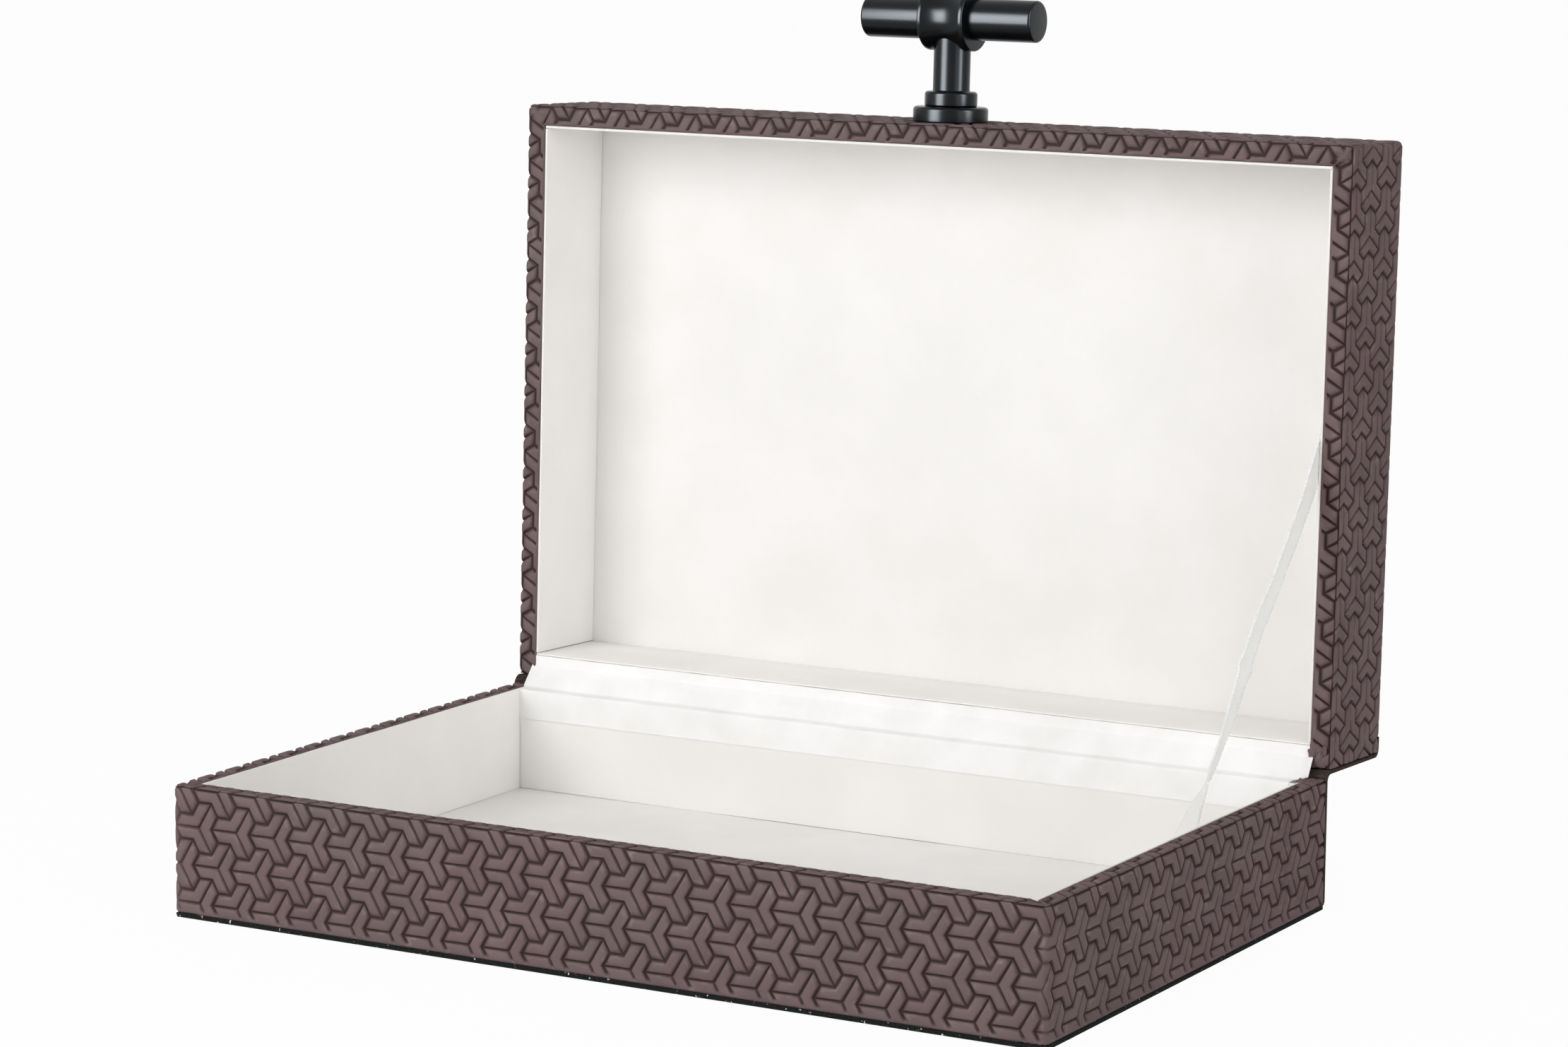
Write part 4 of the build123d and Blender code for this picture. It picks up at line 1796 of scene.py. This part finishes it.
@dataclass
class Pull:
    """Black T-bar pull on the lid's front wall: rosette, post, collar and bar."""

    bar_radius: float = 6.3
    bar_length: float = 57.6
    bar_height: float = 31.0
    collar_radius: float = 9.6
    waist_radius: float = 8.1
    collar_width: float = 15.4
    neck_radius: float = 5.6
    foot_radius: float = 8.0
    foot_height: float = 4.6
    rosette_radius: float = 11.4
    rosette_height: float = 4.6
    # Width of the collar's lips, how far they reach over the bar, and how far the post ends under its axis
    lip: float = 1.2
    bore: float = 1.0
    post_depth: float = 3.0

    def on_wall(self, points: np.ndarray) -> np.ndarray:
        """Take points about the pull's own axis to the open lid's front wall."""
        shut = np.column_stack(
            (points[:, 0], LID.front - points[:, 2], HINGE.rim + LID.height / 2 + points[:, 1])
        )
        return HINGE.open(shut)

    def lying(self, shell: Shell) -> Shell:
        """Lay a turned piece along X at the bar's height.

        Args:
            shell: The piece, turned about Z.

        Returns:
            The same piece, lying.
        """
        p = shell.points
        shell.points = np.column_stack((p[:, 2], p[:, 1], self.bar_height - p[:, 0]))
        return shell

    def build(self) -> None:
        """Turn each piece on its lathe and set it on the wall."""
        r, base = self.rosette_radius, self.rosette_height
        foot, top = base + self.foot_height, self.bar_height - self.post_depth
        half, bar, thick = self.collar_width / 2, self.bar_length / 2, self.bar_radius
        bore = thick - self.bore
        # Each outline runs from pole to pole: radius, height and rounding of every corner
        rosette = rounded([(0, 0, 0), (r - 0.1, 0, 0.2), (r, 0.3, 0.2), (r, base, 1.1), (0, base, 0)], 8)
        post = rounded(
            [
                (0, base, 0),
                (self.foot_radius - 0.3, base, 0.15),
                (self.foot_radius, base + 0.5, 0.3),
                (self.foot_radius, foot, 1.0),
                (self.neck_radius, foot, 0.5),
                (self.neck_radius, top, 0.0),
                (0, top, 0),
            ],
            8,
        )
        # The collar is a spool: hollow between two lips
        edge, deep = half - self.lip, self.collar_radius - self.waist_radius
        hollow = [(self.waist_radius + deep * (x / edge) ** 2, x) for x in np.linspace(-edge, edge, 25)]
        rim = self.collar_radius
        lip = rounded([(bore, half, 0), (rim, half, 0.45), (rim, edge, 0.3), (*hollow[-2], 0)], 6)[1:-1]
        first, last = [(0, -half), (bore, -half)], [(bore, half), (0, half)]
        spool = first + [(x, -y) for x, y in lip] + hollow[1:-1] + lip[::-1] + last
        rod = rounded([(0, -bar, 0), (thick, -bar, 0.75), (thick, bar, 0.75), (0, bar, 0)], 6)
        for name, shell in (
            ("rosette", lathe(rosette)),
            ("post", lathe(post)),
            ("collar", self.lying(lathe(spool))),
            ("bar", self.lying(lathe(rod))),
        ):
            make_piece(f"pull_black_{name}", shell, (Stock.BLACK,), "lid", [f"pull_{name}"], self.on_wall)
        dress_nodes(("pull_screw", "pull_washer"), Stock.STEEL)


# The studio


@dataclass
class Studio:
    """White floor, plain soft lamps and the photograph's camera. Lamps are placed and sized in metres."""

    # The camera's place in millimetres, where it looks and where its right is, and its focal length in pixels
    eye: Triple = (669.8, -1158.0, 329.9)
    look: Triple = (-0.4891, 0.8576, -0.1591)
    right: Triple = (0.8681, 0.4964, 0.0069)
    focal_px: float = 6721.0
    picture_px: float = 2220.0
    floor_colour: str = "#EEEEEE"
    # How much of the floor shows as plain white, the rest keeping the object's shadow
    floor_white: float = 0.96
    # Strength of the world's light from the back and from the front, and the share that is left overhead
    world_back: float = 0.5
    world_front: float = 0.74
    world_above: float = 0.6
    # Name, place, size and watts of each lamp
    lamps: tuple[tuple[str, Triple, Pair, float], ...] = (
        ("key_lamp", (-0.55, -1.08, 0.72), (0.7, 0.7), 6.9),
        ("side_lamp", (1.1, -0.5, 0.5), (0.5, 0.9), 3.1),
    )
    # Name, place in plan, size and radiance of each bright card
    cards: tuple[tuple[str, Pair, Pair, float], ...] = (
        ("left", (-0.55, -1.13), (0.9, 1.6), 9.5),
        ("right", (1.18, 0.0), (0.4, 1.4), 7.5),
    )
    card_height: float = 0.38
    # Sizes of the nested cards, and how much nearer each is than the one before
    card_shares: Triple = (1.0, 0.8, 0.55)
    card_step: float = 0.05
    card_colour: Triple = (0.93, 0.96, 1.0)
    lamp_aim: Triple = (0.0, 0.0, 0.1)

    def camera(self) -> None:
        """Set up the camera at the photograph's viewing angle."""
        data = bpy.data.cameras.new("camera")
        data.sensor_width = 36.0
        data.lens = self.focal_px / self.picture_px * data.sensor_width
        data.clip_start, data.clip_end = 0.05, 60.0
        eye = bpy.data.objects.new("camera", data)
        look = Vector(self.look).normalized()
        right = (Vector(self.right) - look * Vector(self.right).dot(look)).normalized()
        turn = Matrix((right, right.cross(look), -look)).transposed()
        eye.matrix_world = Matrix.Translation(Vector(self.eye) * MM) @ turn.to_4x4()
        bpy.context.scene.collection.objects.link(eye)
        bpy.context.scene.camera = eye

    def seen(self, tree: bpy.types.NodeTree) -> bpy.types.NodeSocket:
        """Tell the rays that see the background from those that light the box.

        Args:
            tree: The tree of the floor's material or of the world.

        Returns:
            1 for rays from the camera and those off or through glossy things, 0 for the rest.
        """
        path = add(tree, "ShaderNodeLightPath").outputs
        value = path["Is Camera Ray"]
        for name in ("Is Glossy Ray", "Is Transmission Ray"):
            value = add(tree, "ShaderNodeMath", {0: value, 1: path[name]}, operation="MAXIMUM").outputs[0]
        return value

    def floor(self) -> None:
        """Lay the white floor, which keeps a soft shadow."""
        work = bmesh.new()
        bmesh.ops.create_grid(work, x_segments=8, y_segments=8, size=8.0)
        mesh = bpy.data.meshes.new("floor")
        work.to_mesh(mesh)
        work.free()
        # Just under the sole, so that the two never share a plane
        mesh.transform(Matrix.Translation((0, 0, -0.2 * MM)))
        floor = bpy.data.objects.new("floor", mesh)
        bpy.context.scene.collection.objects.link(floor)
        material = bpy.data.materials.new("white_floor")
        material.use_nodes = True
        tree = material.node_tree
        shader = tree.nodes["Principled BSDF"]
        feed(tree, shader, {"Base Color": linear(self.floor_colour), "Roughness": 0.9})
        white = add(tree, "ShaderNodeEmission", {"Color": (1, 1, 1, 1), "Strength": 1.0}).outputs[0]
        inputs = {0: self.seen(tree), 1: self.floor_white}
        share = add(tree, "ShaderNodeMath", inputs, operation="MULTIPLY").outputs[0]
        mix = add(tree, "ShaderNodeMixShader", {0: share, 1: shader.outputs[0], 2: white}).outputs[0]
        feed(tree, tree.nodes["Material Output"], {"Surface": mix})
        mesh.materials.append(material)

    def world(self) -> None:
        """Light the scene softly, more from the front half, and show white behind it."""
        world = bpy.data.worlds.new("studio")
        bpy.context.scene.world = world
        world.use_nodes = True
        tree = world.node_tree
        way = add(tree, "ShaderNodeTexCoord").outputs["Generated"]
        parts = add(tree, "ShaderNodeSeparateXYZ", {0: way}).outputs
        inputs = {0: parts[1], 1: 0.35, 2: -0.35, 3: self.world_back, 4: self.world_front}
        front = add(tree, "ShaderNodeMapRange", inputs).outputs[0]
        inputs = {0: parts[2], 1: 0.2, 2: 0.9, 3: 1.0, 4: self.world_above}
        above = add(tree, "ShaderNodeMapRange", inputs).outputs[0]
        soft = add(tree, "ShaderNodeMath", {0: front, 1: above}, operation="MULTIPLY").outputs[0]
        level = add(tree, "ShaderNodeMapRange", {0: self.seen(tree), 3: soft, 4: 1.0}).outputs[0]
        feed(tree, tree.nodes["Background"], {"Color": (1, 1, 1, 1), "Strength": level})

    def lamp(self, name: str, place: Triple, size: Pair, power: float, gloss_only: bool = False) -> None:
        """Stand one flat lamp that faces the box, or a cool bright card that only glossy things pick up.

        Args:
            name: The lamp's name.
            place: Its middle.
            size: Its width and height.
            power: Its watts.
            gloss_only: Whether it is a card.
        """
        data = bpy.data.lights.new(name, "AREA")
        data.shape = "RECTANGLE"
        data.size, data.size_y = size
        data.energy = power
        data.color = self.card_colour if gloss_only else (1.0, 1.0, 1.0)
        lamp = bpy.data.objects.new(name, data)
        aim = Vector(self.lamp_aim) - Vector(place)
        lamp.matrix_world = Matrix.Translation(place) @ aim.to_track_quat("-Z", "Y").to_matrix().to_4x4()
        lamp.visible_diffuse = not gloss_only
        bpy.context.scene.collection.objects.link(lamp)

    def build(self) -> None:
        """Set up everything but the box."""
        self.camera()
        self.floor()
        self.world()
        for lamp in self.lamps:
            self.lamp(*lamp)
        # Nested cards, each a little nearer, so that their reflection fades out towards its edges
        for number, share in enumerate(self.card_shares):
            back = 1 + self.card_step * number
            for side, (x, y), (wide, high), glow in self.cards:
                size = (wide * share, high * share)
                place = (x / back, y / back, self.card_height / back)
                power = math.pi * size[0] * size[1] * glow
                self.lamp(f"{side}_card_{number}", place, size, power, gloss_only=True)
        bpy.context.scene.view_settings.view_transform = "Standard"


def main() -> None:
    """Build and dress the box, sub-assembly by sub-assembly."""
    logging.basicConfig(level=logging.INFO, format="%(message)s")
    Studio().build()
    bar = Emboss().bar()
    base = TrayDress(
        "base",
        BASE,
        None,
        phase=(0.4, 27.2),
        back_phase=(0.0, 27.2),
        turned=False,
        fold_reach=1.9,
    )
    lid = TrayDress(
        "lid",
        LID,
        HINGE.lid,
        phase=(4.2, 22.8),
        back_phase=(0.0, 27.2),
        turned=True,
        spine_bend=2.4,
        spine_slack=0.5,
    )
    for tray in (base, lid):
        tray.cover(bar)
        tray.spine(bar)
        tray.linings()
        tray.corner_fold()
        tray.boards()
    ends = BottomAndTop()
    ends.sole()
    ends.crown(bar)
    bpy.data.objects.remove(bar)
    hinge = HingeSheets()
    hinge.flex()
    hinge.cloth()
    RibbonStay().build()
    Pull().build()


if __name__ == "__main__":
    main()
